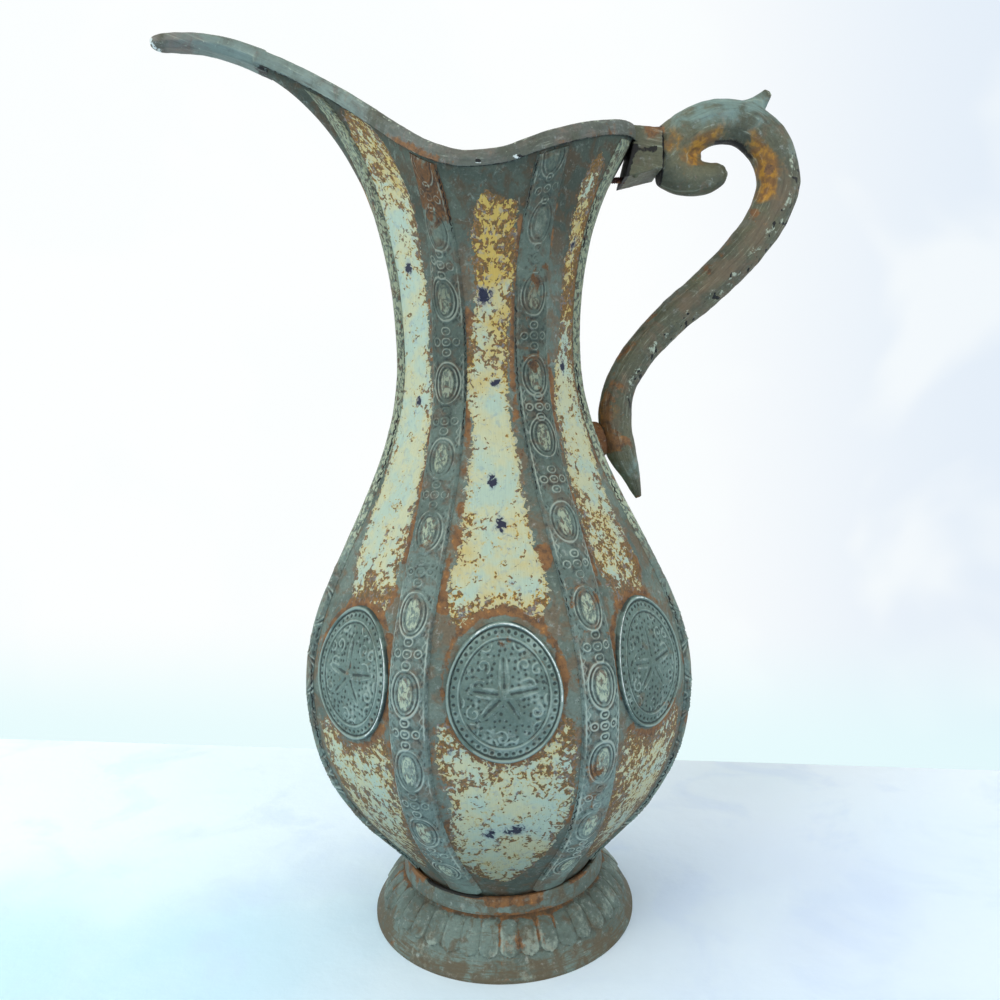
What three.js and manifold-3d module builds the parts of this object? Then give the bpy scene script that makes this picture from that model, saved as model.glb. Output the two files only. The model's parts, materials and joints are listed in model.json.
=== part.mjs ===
// Footed metal jug with a gutter spout and a scroll handle.
// Millimetres, +Z up, spout towards -X, handle towards +X, origin on the jug's axis at the floor.
import * as THREE from "three";
import { mergeVertices } from "three/addons/utils/BufferGeometryUtils.js";
import Module from "manifold-3d";

const wasm = await Module();
wasm.setup();

// Fits and sheet gauges
const seat = 0.3; // clearance left between two pieces that touch
const bodySheet = 0.9;
const stripSheet = 0.7;
const discSheet = 0.8;
const trimSheet = 1.1;
const footSheet = 1.2;
const bottomSheet = 1.0;

// Body profile, from the foot's seat over the belly to the neck
const seatRadius = 45.8;
const seatHeight = 28.5;
const heelSweep = 13; // how far the body runs out above its seat
const heelRise = 23; // how far it rises along that run
const bellyRadius = 92.5;
const bellyHeight = 129;
const bellyDrop = 57;
const shoulderRise = 50;
const neckRadius = 43.7;
const neckHeight = 280;
const neckFall = 62;

// Eight panels round the body: four main ones and four flanks between them
const mainHalfAngle = 24.5;
const cornerRise = 0.028; // how far a seam stands proud of the mean radius
const panelFlatness = 0.55; // 0 is round, 1 is a flat chord
const seamGap = 0.3;

// Mouth: the trim's top line, in plan and height
const mouthHalfWidth = 58;
const dipHeight = 356;
const backReach = 72;
const backHeight = 384;
const backRound = 27;
const backSweep = 34;
const backRise = 15;
const throatReach = 102; // where the gutter's sheet ends and the tongue begins
const throatHeight = 421.6;
const throatHalfWidth = 6;
const spoutSweep = 39;
const spoutRise = 4.8;
const spoutWaist = 40.5;
const spoutWaistHeight = 397;

// Tongue: the solid beak that carries the gutter on from the throat
const tongueReach = 152.5;
const tongueRise = 8.6; // of its top line over the throat, where it is highest
const tongueDepth = 8;
const tongueHalfWidth = 7.8;
const tongueLap = 2; // how far it reaches back between the trim's ends

// Share of the spout half of the mouth line that each seam or crease reaches
const frontSeamShare = 0.27;
const creaseAngle = 124;
const creaseShare = 0.6;
const flankAngle = 135;
const flankShare = 0.7;
const keelSeamShare = 0.85;
const keelAngle = 172; // directions past this one end on the gutter's open end
const keelDepth = 2.6; // of the open end's hollow

// Sweep of the sheet from the neck to the mouth, at the handle and at the spout's keel
const handleSweep = { climb: 0.66, reach: 0.85, lift: 0.6 };
const keelSweep = { climb: 0.45, reach: 0.36, lift: 0.69 };

// Rim trim, a folded channel over the sheet's turned-up edge
const trimDepth = 7;
const trimInnerDepth = 4;
const trimWeb = 1.2;
const trimFold = 0.5; // how far the fold stands out from the outer leg
const edgeTurn = 4.2; // height of the sheet's turned-up edge

// Cover strips, medallions
const stripSeat = 0.5; // clearance under a strip, which bridges the panels' facets
const stripNeckWidth = 17;
const stripBellyWidth = 18;
const stripDome = 0.5;
const stripReachShare = 0.56; // of the way to a panel's middle, the most that a strip covers
const stripTipHalf = 2.5; // half its least width, where it runs out beside the trim
const discHeight = 142.5;
const discWidth = 46;
const discLength = 55;
const discRim = 1.0;
const discBoss = 0.8;

// Foot
const footRadius = 66;
const collarHeight = 6.2;
const collarSeatDepth = 1.6; // how far the collar's lip climbs past the body's seat
const collarSheet = 1.3;
const collarFlare = 3.6;
const fluteCount = 40;
const fluteDepth = 1.3;
const fluteTop = 20.5;
const fluteBottom = 9.5;
const footSwell = 3.2; // outward bow of the skirt between collar and floor
const footFlange = 6;
const skirtTopFlange = 2.6;

// Handle: centre line stations as x, z and half thickness in the plane of the handle
const handleReach = 143.5;
const handleWidthShare = 0.82;
const gripThickness = 10.6;
const tailThickness = 8.2;
const curlThickness = 10.4;
const knobHeight = 402;
const shoeFace = 84.6;
const shoeHalfWidth = 11.5;
const shoeGap = 6.5; // between the neck wall and the shoe's foot
const shoeHeight = 21;
const shoeTaper = 5; // rise of its underside towards the handle
const shoeBevel = 1.2;
const bossLength = 20;
const bossHalfWidth = 6.5;
const bossHeight = 236;
const bossReach = 9;

// Spigot on the handle's root, and the screw from the neck into the shoe
const spigotRadius = 5;
const spigotLength = 8;
const screwRadius = 1.6;
const screwHeadRadius = 3.4;
const screwHeadLength = 2;
const screwRise = 3.4; // above the shoe's foot
const screwLength = 21;

const RAD = Math.PI / 180;
const UP = new THREE.Vector3(0, 0, 1);
const v3 = (x, y, z) => new THREE.Vector3(x, y, z);
const lerp = THREE.MathUtils.lerp;
const smooth = (value) => THREE.MathUtils.smoothstep(value, 0, 1);

// The mouth line's back half and spout half, on the +Y side
const backCurve = new THREE.CubicBezierCurve3(
  v3(0, mouthHalfWidth, dipHeight),
  v3(backSweep, mouthHalfWidth, dipHeight + backRise),
  v3(backReach, backRound, backHeight),
  v3(backReach, 0, backHeight),
);
const spoutCurve = new THREE.CubicBezierCurve3(
  v3(0, mouthHalfWidth, dipHeight),
  v3(-spoutSweep, mouthHalfWidth, dipHeight + spoutRise),
  v3(-spoutWaist, throatHalfWidth, spoutWaistHeight),
  v3(-throatReach, throatHalfWidth, throatHeight),
);

// Point of the mouth line: share -1 at the handle, 0 at the side dip, 1 at the spout's throat
const mouthPoint = (share) => (share <= 0 ? backCurve.getPoint(-share) : spoutCurve.getPoint(share));

// Section axes at a share: outward, and up square to the mouth line
function mouthFrame(share) {
  const step = 0.004;
  const low = mouthPoint(Math.max(-1, share - step));
  const along = mouthPoint(Math.min(1, share + step)).sub(low).normalize();
  const outward = new THREE.Vector3().crossVectors(UP, along).normalize().negate();
  if (share <= -1 + step) outward.set(1, 0, 0);
  const up = new THREE.Vector3().crossVectors(outward, along).normalize();
  if (up.z < 0) up.negate();
  return { outward, up };
}

// The sheet's lip below the mouth line, and how near the throat the keel's sheet can end
const edgeDepth = trimWeb + seat + edgeTurn;
const throatSlope = Math.atan2(throatHeight - spoutWaistHeight, throatReach - spoutWaist);
const keelSetback = tongueLap + seat + edgeDepth * Math.sin(throatSlope);
const keelShare = 1 - keelSetback / (3 * (throatReach - spoutWaist));

// The mouth share that a panel direction reaches
const flankHalfAngle = 45 - mainHalfAngle;
const shareStations = [
  [0, -1],
  [90, 0],
  [90 + mainHalfAngle, frontSeamShare],
  [creaseAngle, creaseShare],
  [flankAngle, flankShare],
  [180 - mainHalfAngle, keelSeamShare],
  [keelAngle, keelShare],
];
function mouthShare(angle) {
  const last = shareStations.findIndex(([station]) => station >= angle - 1e-9);
  if (last <= 0) return shareStations[0][1];
  const [fromAngle, fromShare] = shareStations[last - 1];
  const [toAngle, toShare] = shareStations[last];
  return lerp(fromShare, toShare, (angle - fromAngle) / (toAngle - fromAngle));
}

// How far a direction stands out from the mean radius: seams proud, panels drawn flat
function lobe(angle, level) {
  const offMain = Math.abs(angle - Math.round(angle / 90) * 90);
  const isMain = offMain <= mainHalfAngle;
  const half = (isMain ? mainHalfAngle : flankHalfAngle) * RAD;
  const off = (isMain ? offMain : Math.abs(offMain - 45)) * RAD;
  const sag = panelFlatness * ((half * half - off * off) / 2);
  return 1 + smooth(level / 0.5) * (cornerRise - sag);
}

const lowerProfile = new THREE.CubicBezierCurve(
  new THREE.Vector2(seatRadius, seatHeight),
  new THREE.Vector2(seatRadius + heelSweep, seatHeight + heelRise),
  new THREE.Vector2(bellyRadius, bellyHeight - bellyDrop),
  new THREE.Vector2(bellyRadius, bellyHeight),
);
const upperProfile = new THREE.CubicBezierCurve(
  new THREE.Vector2(bellyRadius, bellyHeight),
  new THREE.Vector2(bellyRadius, bellyHeight + shoulderRise),
  new THREE.Vector2(neckRadius, neckHeight - neckFall),
  new THREE.Vector2(neckRadius, neckHeight),
);

// Where a direction's sheet meets the trim, or the open end of the gutter past the keel angle
function lipPoint(near) {
  const share = mouthShare(Math.min(near, keelAngle));
  const { up } = mouthFrame(share);
  const lip = mouthPoint(share).addScaledVector(up, -edgeDepth);
  if (near > keelAngle) {
    const turn = ((near - keelAngle) / (180 - keelAngle)) * 90 * RAD;
    lip.set(lip.x, lip.y * Math.cos(turn), lip.z - keelDepth * Math.sin(turn));
  }
  return { lip, up };
}

// Outer skin of the body. Level 0 to 1 is seat to belly, 1 to 2 belly to neck, 2 to 3 neck to
// mouth, and 3 to 4 the edge turned up into the trim.
function skin(degrees, level) {
  const angle = ((degrees % 360) + 360) % 360;
  const profile = level <= 1 ? lowerProfile.getPoint(level) : upperProfile.getPoint(Math.min(level, 2) - 1);
  const radius = profile.x * lobe(angle, level);
  const start = v3(radius * Math.cos(angle * RAD), radius * Math.sin(angle * RAD), profile.y);
  if (level <= 2) return start;
  const near = angle > 180 ? 360 - angle : angle;
  const side = v3(1, angle > 180 ? -1 : 1, 1);
  const { lip, up } = lipPoint(near);
  lip.multiply(side);
  if (level > 3) return lip.addScaledVector(up.multiply(side), (level - 3) * edgeTurn);
  const turn = near / 180;
  const climb = lerp(handleSweep.climb, keelSweep.climb, turn);
  const reach = lerp(handleSweep.reach, keelSweep.reach, turn);
  const lift = lerp(handleSweep.lift, keelSweep.lift, turn);
  const rise = start.clone().setZ(lerp(start.z, lip.z, climb));
  const flare = v3(lerp(rise.x, lip.x, reach), lerp(rise.y, lip.y, reach), lerp(rise.z, lip.z, lift));
  return new THREE.CubicBezierCurve3(start, rise, flare, lip).getPoint(level - 2);
}

// Outward normal of the skin
function skinNormal(degrees, level) {
  const turn = 0.05;
  const top = level > 3 ? 4 : 3;
  const high = Math.min(top, level + 0.01);
  const low = high - 0.02;
  const across = skin(degrees + turn, level).sub(skin(degrees - turn, level));
  const along = skin(degrees, high).sub(skin(degrees, low));
  return across.cross(along).normalize();
}

const offSkin = (degrees, level, height) => skin(degrees, level).addScaledVector(skinNormal(degrees, level), height);

// Degrees that a distance across the skin takes up, to one side of a direction
function degreesAcross(degrees, level, distance) {
  const probe = Math.sign(distance) * 0.5;
  const perProbe = skin(degrees + probe, level).distanceTo(skin(degrees, level));
  return (distance / perProbe) * Math.abs(probe);
}

// Closed solid between two grids of points of the same size
function shell(outer, inner) {
  const columns = outer.length;
  const rows = outer[0].length;
  const points = [...outer.flat(), ...inner.flat()];
  const at = (layer, column, row) => layer * columns * rows + column * rows + row;
  const faces = [];
  const quad = (a, b, c, d) => faces.push(a, b, c, a, c, d);
  for (let i = 0; i + 1 < columns; i++) {
    for (let j = 0; j + 1 < rows; j++) {
      quad(at(0, i, j), at(0, i + 1, j), at(0, i + 1, j + 1), at(0, i, j + 1));
      quad(at(1, i, j), at(1, i, j + 1), at(1, i + 1, j + 1), at(1, i + 1, j));
    }
    quad(at(0, i, 0), at(1, i, 0), at(1, i + 1, 0), at(0, i + 1, 0));
    quad(at(0, i, rows - 1), at(0, i + 1, rows - 1), at(1, i + 1, rows - 1), at(1, i, rows - 1));
  }
  for (let j = 0; j + 1 < rows; j++) {
    quad(at(0, 0, j), at(0, 0, j + 1), at(1, 0, j + 1), at(1, 0, j));
    quad(at(0, columns - 1, j), at(1, columns - 1, j), at(1, columns - 1, j + 1), at(0, columns - 1, j + 1));
  }
  return solidGeometry(points, faces);
}

// Closed solid swept through rings of the same count, open rings capped, or joined end to start
function loft(rings, closed) {
  const count = rings[0].length;
  const points = rings.flat();
  const faces = [];
  const spans = closed ? rings.length : rings.length - 1;
  for (let i = 0; i < spans; i++) {
    const next = (i + 1) % rings.length;
    for (let j = 0; j < count; j++) {
      const k = (j + 1) % count;
      const [a, b, c, d] = [i * count + j, next * count + j, next * count + k, i * count + k];
      faces.push(a, b, c, a, c, d);
    }
  }
  if (!closed) {
    for (const [ring, flip] of [[0, false], [rings.length - 1, true]]) {
      const centre = rings[ring].reduce((sum, point) => sum.add(point), v3(0, 0, 0)).divideScalar(count);
      const middle = points.push(centre) - 1;
      for (let j = 0; j < count; j++) {
        const [a, b] = [ring * count + j, ring * count + ((j + 1) % count)];
        faces.push(...(flip ? [middle, b, a] : [middle, a, b]));
      }
    }
  }
  return solidGeometry(points, faces);
}

// Indexed geometry with its faces turned outward
function solidGeometry(points, faces) {
  const geometry = new THREE.BufferGeometry().setFromPoints(points);
  let volume = 0;
  for (let i = 0; i < faces.length; i += 3) {
    const [a, b, c] = [points[faces[i]], points[faces[i + 1]], points[faces[i + 2]]];
    volume += a.dot(b.clone().cross(c));
  }
  const index = volume < 0 ? faces.slice().reverse() : faces;
  geometry.setIndex(index);
  return geometry;
}

// Manifold solid of a geometry, and back
function toSolid(geometry) {
  const plain = geometry.clone();
  plain.deleteAttribute("normal");
  plain.deleteAttribute("uv");
  const merged = mergeVertices(plain, 1e-5);
  return new wasm.Manifold(new wasm.Mesh({
    numProp: 3,
    vertProperties: new Float32Array(merged.attributes.position.array),
    triVerts: new Uint32Array(merged.index.array),
  }));
}
function toGeometry(solid) {
  const mesh = solid.getMesh();
  const geometry = new THREE.BufferGeometry();
  geometry.setAttribute("position", new THREE.BufferAttribute(mesh.vertProperties, 3));
  geometry.setIndex(new THREE.BufferAttribute(mesh.triVerts, 1));
  return geometry;
}

// Levels of the rows up the body
const levelsBetween = (from, to, count) => Array.from({ length: count }, (_, i) => from + ((i + 1) / count) * (to - from));
const bodyLevels = [0, ...levelsBetween(0, 1, 5), ...levelsBetween(1, 2, 6), ...levelsBetween(2, 3, 8)];
const edgeLevel = 3 + (edgeTurn - seat) / edgeTurn;

// One body panel between two seams, with its edges held back by half the seam gap. The spout's
// panel ends under the trim, and all others turn up into it.
function panelGeometry(columns) {
  const levels = columns.includes(180) ? bodyLevels : [...bodyLevels, edgeLevel];
  const half = seamGap / 2;
  const last = columns.length - 1;
  const columnAt = (degrees, index, level) => {
    if (index === 0) return degrees + degreesAcross(degrees, level, half);
    if (index === last) return degrees + degreesAcross(degrees, level, -half);
    return degrees;
  };
  const grid = (height) => columns.map((degrees, index) => levels.map((level) =>
    skin(columnAt(degrees, index, level), level).addScaledVector(skinNormal(degrees, level), height)));
  return shell(grid(0), grid(-bodySheet));
}

const evenColumns = (from, to, count) => Array.from({ length: count + 1 }, (_, i) => lerp(from, to, i / count));

// Directions of a panel's columns, closer together at the spout's crease and keel
function panelColumns(centre) {
  if (centre > 180) return panelColumns(360 - centre).map((degrees) => 360 - degrees).reverse();
  if (centre === 180) {
    const near = [...evenColumns(180 - mainHalfAngle, keelAngle, 3), (keelAngle + 180) / 2];
    return [...near, 180, ...near.map((degrees) => 360 - degrees).reverse()];
  }
  if (centre === 135) {
    return [...evenColumns(90 + mainHalfAngle, creaseAngle, 3), ...evenColumns(creaseAngle, 180 - mainHalfAngle, 4).slice(1)];
  }
  const reach = centre % 90 === 0 ? mainHalfAngle : flankHalfAngle;
  return evenColumns(centre - reach, centre + reach, centre % 90 === 0 ? 6 : 4);
}

// Widths and ends of a cover strip
function stripWidth(level) {
  const radius = level <= 1 ? lowerProfile.getPoint(level).x : upperProfile.getPoint(Math.min(level, 2) - 1).x;
  return lerp(stripNeckWidth, stripBellyWidth, Math.max(0, (radius - neckRadius) / (bellyRadius - neckRadius)));
}

// Distance from a point of the skin to the sheet's lip under the trim
const lipLine = evenColumns(0, 180, 180).map((near) => lipPoint(near).lip);
const lipDistance = (point) => {
  const near = v3(point.x, Math.abs(point.y), point.z);
  return Math.min(...lipLine.map((lip) => lip.distanceTo(near)));
};

// The largest value from low to high that still passes a test, which the low end passes
function lastPassing(low, high, test) {
  if (test(high)) return high;
  let [pass, fail] = [low, high];
  for (let i = 0; i < 20; i++) {
    const middle = (pass + fail) / 2;
    if (test(middle)) pass = middle;
    else fail = middle;
  }
  return pass;
}

// The level at which the body reaches a given height
function levelAtHeight(height) {
  const [curve, base] = height < bellyHeight ? [lowerProfile, 0] : [upperProfile, 1];
  return base + lastPassing(0, 1, (share) => curve.getPoint(share).y < height);
}

// A cover strip over one seam: thin at its edges, raised along the middle, ending clear of the
// collar below and of the trim's outer leg above, and drawn in where it runs up beside the trim
const trimLegDrop = trimDepth - edgeDepth;
function stripGeometry(seam) {
  const side = Math.sin(seam * RAD) < 0 ? -1 : 1;
  const clearance = trimLegDrop + trimSheet + stripSheet + 2 * seat;
  const top = lastPassing(2, 3, (level) => lipDistance(skin(seam, level)) > clearance + stripTipHalf);
  const bottom = levelAtHeight(seatHeight + collarSeatDepth + stripSheet + 2 * seat);
  const levels = [bottom, ...bodyLevels.filter((level) => level > bottom + 0.05 && level < top - 0.03), top];
  const edgeAt = (level, way) => {
    const degreesAt = (offset) => seam + degreesAcross(seam, level, way * offset);
    const clear = (offset) => lipDistance(skin(degreesAt(offset), level)) > clearance;
    const middle = 45 * (way > 0 ? Math.ceil(seam / 45) : Math.floor(seam / 45));
    const reach = stripReachShare * skin(middle, level).distanceTo(skin(seam, level));
    return degreesAt(lastPassing(stripTipHalf, Math.min(stripWidth(level) / 2, reach), clear));
  };
  const shares = Math.abs(seam - 180) === mainHalfAngle ? [-1, -0.5, 0, 0.5, 1] : [-1, 0, 1];
  const ends = levels.map((level) => [edgeAt(level, -side), edgeAt(level, side)]);
  const grid = (thick, dome) => shares.map((share) => levels.map((level, row) => {
    const degrees = lerp(seam, ends[row][share < 0 ? 0 : 1], Math.abs(share));
    return offSkin(degrees, level, stripSeat + thick + dome * (1 - Math.abs(share)));
  }));
  return shell(grid(stripSheet, stripDome), grid(0, 0));
}

// A pressed oval medallion, curved to its panel, with a rolled rim and a raised centre
function medallionGeometry(centre) {
  const spokes = 16;
  const middle = levelAtHeight(discHeight);
  const bands = [[0.3, discBoss], [0.78, 0], [0.9, discRim], [1, 0.2]];
  const place = (share, spoke, height) => {
    const turn = (spoke / spokes) * 360 * RAD;
    const level = levelAtHeight(discHeight + share * (discLength / 2) * Math.sin(turn));
    const offset = share * (discWidth / 2) * Math.cos(turn);
    const degrees = Math.abs(offset) < 1e-9 ? centre : centre + degreesAcross(centre, middle, offset);
    return offSkin(degrees, level, height);
  };
  const ring = (share, height) => Array.from({ length: spokes }, (_, spoke) => place(share, spoke, height));
  const outer = bands.map(([share, rise]) => ring(share, seat + discSheet + rise));
  const inner = [1, 0.7, 0.4, 0.12].map((share) => ring(share, seat));
  return loft([...outer, ...inner], false);
}

// Rim trim section, outward and up from the mouth line: two legs, a web and a fold
const grooveHalf = bodySheet / 2 + seat;
const sheetMiddle = -bodySheet / 2; // the sheet lies inside the skin, so the trim is centred on it
const trimSection = [
  [grooveHalf, -trimDepth],
  [grooveHalf + trimSheet, -trimDepth],
  [grooveHalf + trimSheet + trimFold, -trimDepth * 0.45],
  [grooveHalf + trimSheet * 0.7, 0],
  [-grooveHalf - trimSheet * 0.7, 0],
  [-grooveHalf - trimSheet, -trimInnerDepth * 0.4],
  [-grooveHalf - trimSheet, -trimInnerDepth],
  [-grooveHalf, -trimInnerDepth],
  [-grooveHalf, -trimWeb],
  [grooveHalf, -trimWeb],
];
function trimGeometry() {
  const columns = [0, 45, 90, 135, 180].flatMap((centre) => panelColumns(centre).slice(0, -1));
  const shares = [...columns.filter((degrees) => degrees >= 0 && degrees <= keelAngle).map(mouthShare), 1];
  const ringAt = (share, side) => {
    const { outward, up } = mouthFrame(share);
    return trimSection.map(([out, high]) => mouthPoint(share)
      .addScaledVector(outward, out + sheetMiddle)
      .addScaledVector(up, high)
      .multiply(v3(1, side, 1)));
  };
  const near = shares.map((share) => ringAt(share, -1)).reverse();
  const far = shares.slice(1).map((share) => ringAt(share, 1));
  return toGeometry(toSolid(loft([...near, ...far], false)).add(toSolid(tongueGeometry())));
}

// The tongue: stations as shares of its reach, rise, half width and depth, with a shallow
// channel along the top
function tongueGeometry() {
  const start = throatReach - tongueLap;
  const run = tongueReach - start;
  const stations = [
    [0, 0, 1, 1, 0.28], [0.25, 0.56, 0.84, 0.93, 0.34], [0.53, 0.92, 0.74, 0.86, 0.34],
    [0.78, 1, 0.66, 0.82, 0.3], [0.94, 0.93, 0.46, 0.66, 0.2], [1, 0.77, 0.18, 0.3, 0.1],
  ];
  const outline = [
    [1, 0.15], [1, 0.6], [0.6, 1], [-0.6, 1], [-1, 0.6], [-1, 0.15], [-0.75, 0], [-0.45, 0],
    [-0.3, 1], [0.3, 1], [0.45, 0], [0.75, 0],
  ];
  const channel = [8, 9];
  return loft(stations.map(([share, rise, width, depth, groove]) => outline.map(([across, down], corner) => v3(
    -start - share * run,
    across * width * tongueHalfWidth,
    throatHeight + rise * tongueRise - down * depth * tongueDepth * (channel.includes(corner) ? groove : 1),
  ))), false);
}

// Foot: the skirt's outer line, from collar to floor
const collarBase = seatHeight - collarHeight;
const collarTopRadius = seatRadius + seat;
const collarFootRadius = collarTopRadius + collarSheet + collarFlare;
const bottomTop = seatHeight - seat;
const skirtTop = bottomTop - bottomSheet - seat;
const skirtShoulder = collarFootRadius - collarSheet - seat;
const skirtCurve = new THREE.QuadraticBezierCurve(
  new THREE.Vector2(skirtShoulder, collarBase),
  new THREE.Vector2((collarFootRadius + footRadius) / 2 + footSwell, (collarBase + footSheet) / 2 + footSwell),
  new THREE.Vector2(footRadius, footSheet),
);

// The hollow skirt: one sheet from the flange under the body, down over the flutes, to the
// flange turned in on the floor. Every third column is pressed in between the flutes.
function skirtGeometry() {
  const columns = fluteCount * 3;
  const line = [0, 0.12, 0.4, 0.66, 1].map((share) => skirtCurve.getPoint(share));
  const back = skirtCurve.getPoint(0.4);
  const press = (height) => THREE.MathUtils.smoothstep(height, fluteBottom - 1, fluteBottom + 1)
    * (1 - THREE.MathUtils.smoothstep(height, fluteTop - 1, fluteTop + 1));
  const neckEdge = seatRadius - skirtTopFlange;
  const outline = [
    [neckEdge, skirtTop, 0], [seatRadius - 2 * seat, skirtTop, 0],
    ...line.map((point) => [point.x, point.y, press(point.y)]), [footRadius, 0, 0],
    [footRadius - footFlange, 0, 0], [footRadius - footFlange, footSheet, 0],
    [footRadius - 1.3 * footSheet, 1.5 * footSheet, 0],
    [back.x - footSheet, back.y - 0.3 * footSheet, press(back.y)],
    [seatRadius - 2 * seat - footSheet, skirtTop - footSheet, 0], [neckEdge, skirtTop - footSheet, 0],
  ];
  const rings = Array.from({ length: columns }, (_, column) => {
    const turn = (column / columns) * 360 * RAD;
    return outline.map(([radius, height, share]) => {
      const pressed = radius - (column % 3 === 0 ? fluteDepth * share : 0);
      return v3(pressed * Math.cos(turn), pressed * Math.sin(turn), height);
    });
  });
  return loft(rings, true);
}

// Closed ring turned about the axis from a closed outline
function turned(outline, segments) {
  const rings = Array.from({ length: segments }, (_, i) => {
    const turn = (i / segments) * 360 * RAD;
    return outline.map(([radius, height]) => v3(radius * Math.cos(turn), radius * Math.sin(turn), height));
  });
  return loft(rings, true);
}

function collarGeometry() {
  const lip = seatHeight + collarSeatDepth;
  const lipRadius = seatRadius + collarSeatDepth + 2 * seat;
  return turned([
    [collarTopRadius, skirtTop - seat], [collarTopRadius, seatHeight - seat], [lipRadius, lip],
    [lipRadius + collarSheet, lip], [collarFootRadius, collarBase + collarSheet],
    [collarFootRadius, collarBase], [collarFootRadius - collarSheet, collarBase],
  ], 40);
}

// A dished disc closes the body
function bottomGeometry() {
  const edge = seatRadius - seat;
  const dish = 3;
  const profile = [
    [0, bottomTop + dish - bottomSheet], [edge * 0.55, bottomTop + dish - bottomSheet],
    [edge * 0.8, bottomTop - bottomSheet], [edge, bottomTop - bottomSheet], [edge, bottomTop],
    [edge * 0.8, bottomTop], [edge * 0.55, bottomTop + dish], [0, bottomTop + dish],
  ].map(([radius, height]) => new THREE.Vector2(radius, height));
  return new THREE.LatheGeometry(profile, 32).rotateX(90 * RAD);
}

// A bar lofted along stations [x, z, half thickness] in the handle's plane
function barGeometry(stations, steps, sides) {
  const path = new THREE.CatmullRomCurve3(stations.map(([x, z]) => v3(x, 0, z)), false, "centripetal");
  const sizes = new THREE.SplineCurve(stations.map(([, , size], i) => new THREE.Vector2(i, size)));
  const rings = Array.from({ length: steps + 1 }, (_, i) => {
    const share = i / steps;
    const centre = path.getPoint(share);
    const along = path.getTangent(share);
    const across = v3(-along.z, 0, along.x);
    const size = sizes.getPoint(share).y;
    return Array.from({ length: sides }, (__, j) => {
      const turn = (j / sides) * 360 * RAD;
      return centre.clone()
        .addScaledVector(across, size * Math.cos(turn))
        .setY(size * handleWidthShare * Math.sin(turn));
    });
  });
  return loft(rings, false);
}

const grip = gripThickness;
const archStations = [
  [shoeFace + 1, 373, grip + 0.9], [97, 381.5, grip + 0.4], [112, 387.5, grip - 0.2],
  [128, 385.5, grip], [handleReach - 4, 374.5, grip + 0.2], [handleReach, 358, grip - 0.1],
  [handleReach - 7.5, 339, grip - 0.9], [115, 315.5, grip - 1.3], [92, 296.5, grip - 1.8],
  [74.5, 279, tailThickness - 0.2], [64.6, 262, tailThickness - 0.2], [62, 247, tailThickness + 0.2],
  [64.5, 232, tailThickness - 0.8], [69.3, 219, tailThickness - 3.2], [73.2, 207.5, 1.6],
];
const curlStations = [
  [shoeFace + 1, 370.5, curlThickness], [96, 364.5, curlThickness - 0.2], [104.5, 361.8, curlThickness - 2],
  [110.5, 362.6, curlThickness - 4], [115, 364.6, curlThickness - 7.6],
];
const archSteps = 40;
const knobStations = [[130, 390, 5], [134.5, 396, 3.1], [138, knobHeight - 1.5, 1.8], [139, knobHeight, 0.7]];

function boxSolid(width, depth, height, x, y, z) {
  return toSolid(new THREE.BoxGeometry(width, depth, height).translate(x, y, z));
}

function rodSolid(radius, from, to, height, segments) {
  const rod = new THREE.CylinderGeometry(radius, radius, to - from, segments)
    .rotateZ(90 * RAD)
    .translate((from + to) / 2, 0, height);
  return toSolid(rod);
}

// Inner face of the neck wall on the handle's side, at a height
const wallInside = (height) => offSkin(0, lastPassing(2, 3, (level) => skin(0, level).z < height), -bodySheet).x;

// The shoe's and the screw's places against the neck wall and the rim trim
const trimOut = backReach + sheetMiddle + grooveHalf + trimSheet + trimFold;
const mouthAtShoe = mouthPoint(-lastPassing(0, 1, (share) => mouthPoint(-share).y > shoeHalfWidth + trimOut - backReach));
const shoeTop = mouthAtShoe.z - trimDepth - seat;
const shoeLow = shoeTop - shoeHeight;
const screwHeight = shoeLow + screwRise;
const screwStart = wallInside(screwHeight - screwHeadRadius) - 2 * seat;
const screwHole = rodSolid(screwRadius + seat, screwStart - 1, screwStart + screwLength + seat, screwHeight, 16);
const spigotHeight = (shoeTop + shoeLow) / 2 + 3;

function handleGeometry() {
  const cut = handleReach / 2; // wide enough to take all that lies on the shoe's side of its face
  const trimmed = boxSolid(cut, cut, cut, shoeFace + seat - cut / 2, 0, spigotHeight);
  const spigot = rodSolid(spigotRadius, shoeFace - spigotLength, shoeFace + spigotLength, spigotHeight, 20);
  const arch = toSolid(barGeometry(archStations, archSteps, 10));
  const curl = toSolid(barGeometry(curlStations, 10, 10));
  const knob = toSolid(barGeometry(knobStations, 6, 8));
  return toGeometry(arch.add(curl).add(knob).subtract(trimmed).add(spigot));
}

// The shoe between mouth and handle: a flared block, lower at the mouth where the trim laps it
function shoeGeometry() {
  const footX = wallInside(shoeLow) + bodySheet + shoeGap;
  const nearTop = trimOut - trimFold - trimSheet;
  const outline = new THREE.Shape([
    [footX, shoeLow], [shoeFace, shoeLow + shoeTaper], [shoeFace, backHeight - 2],
    [trimOut + seat + 1.5, backHeight - 2.5], [trimOut + seat + 1, shoeTop], [nearTop, shoeTop],
  ].map(([x, z]) => new THREE.Vector2(x, z)));
  const depth = 2 * (shoeHalfWidth - shoeBevel);
  const block = new THREE.ExtrudeGeometry(outline, {
    depth, bevelEnabled: true, bevelThickness: shoeBevel, bevelSize: shoeBevel, bevelOffset: -shoeBevel, bevelSegments: 1,
  }).translate(0, 0, -depth / 2).rotateX(90 * RAD);
  const socket = rodSolid(spigotRadius + seat, shoeFace - spigotLength - seat, shoeFace + 1, spigotHeight, 20);
  return toGeometry(toSolid(block).subtract(screwHole).subtract(socket));
}

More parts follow.
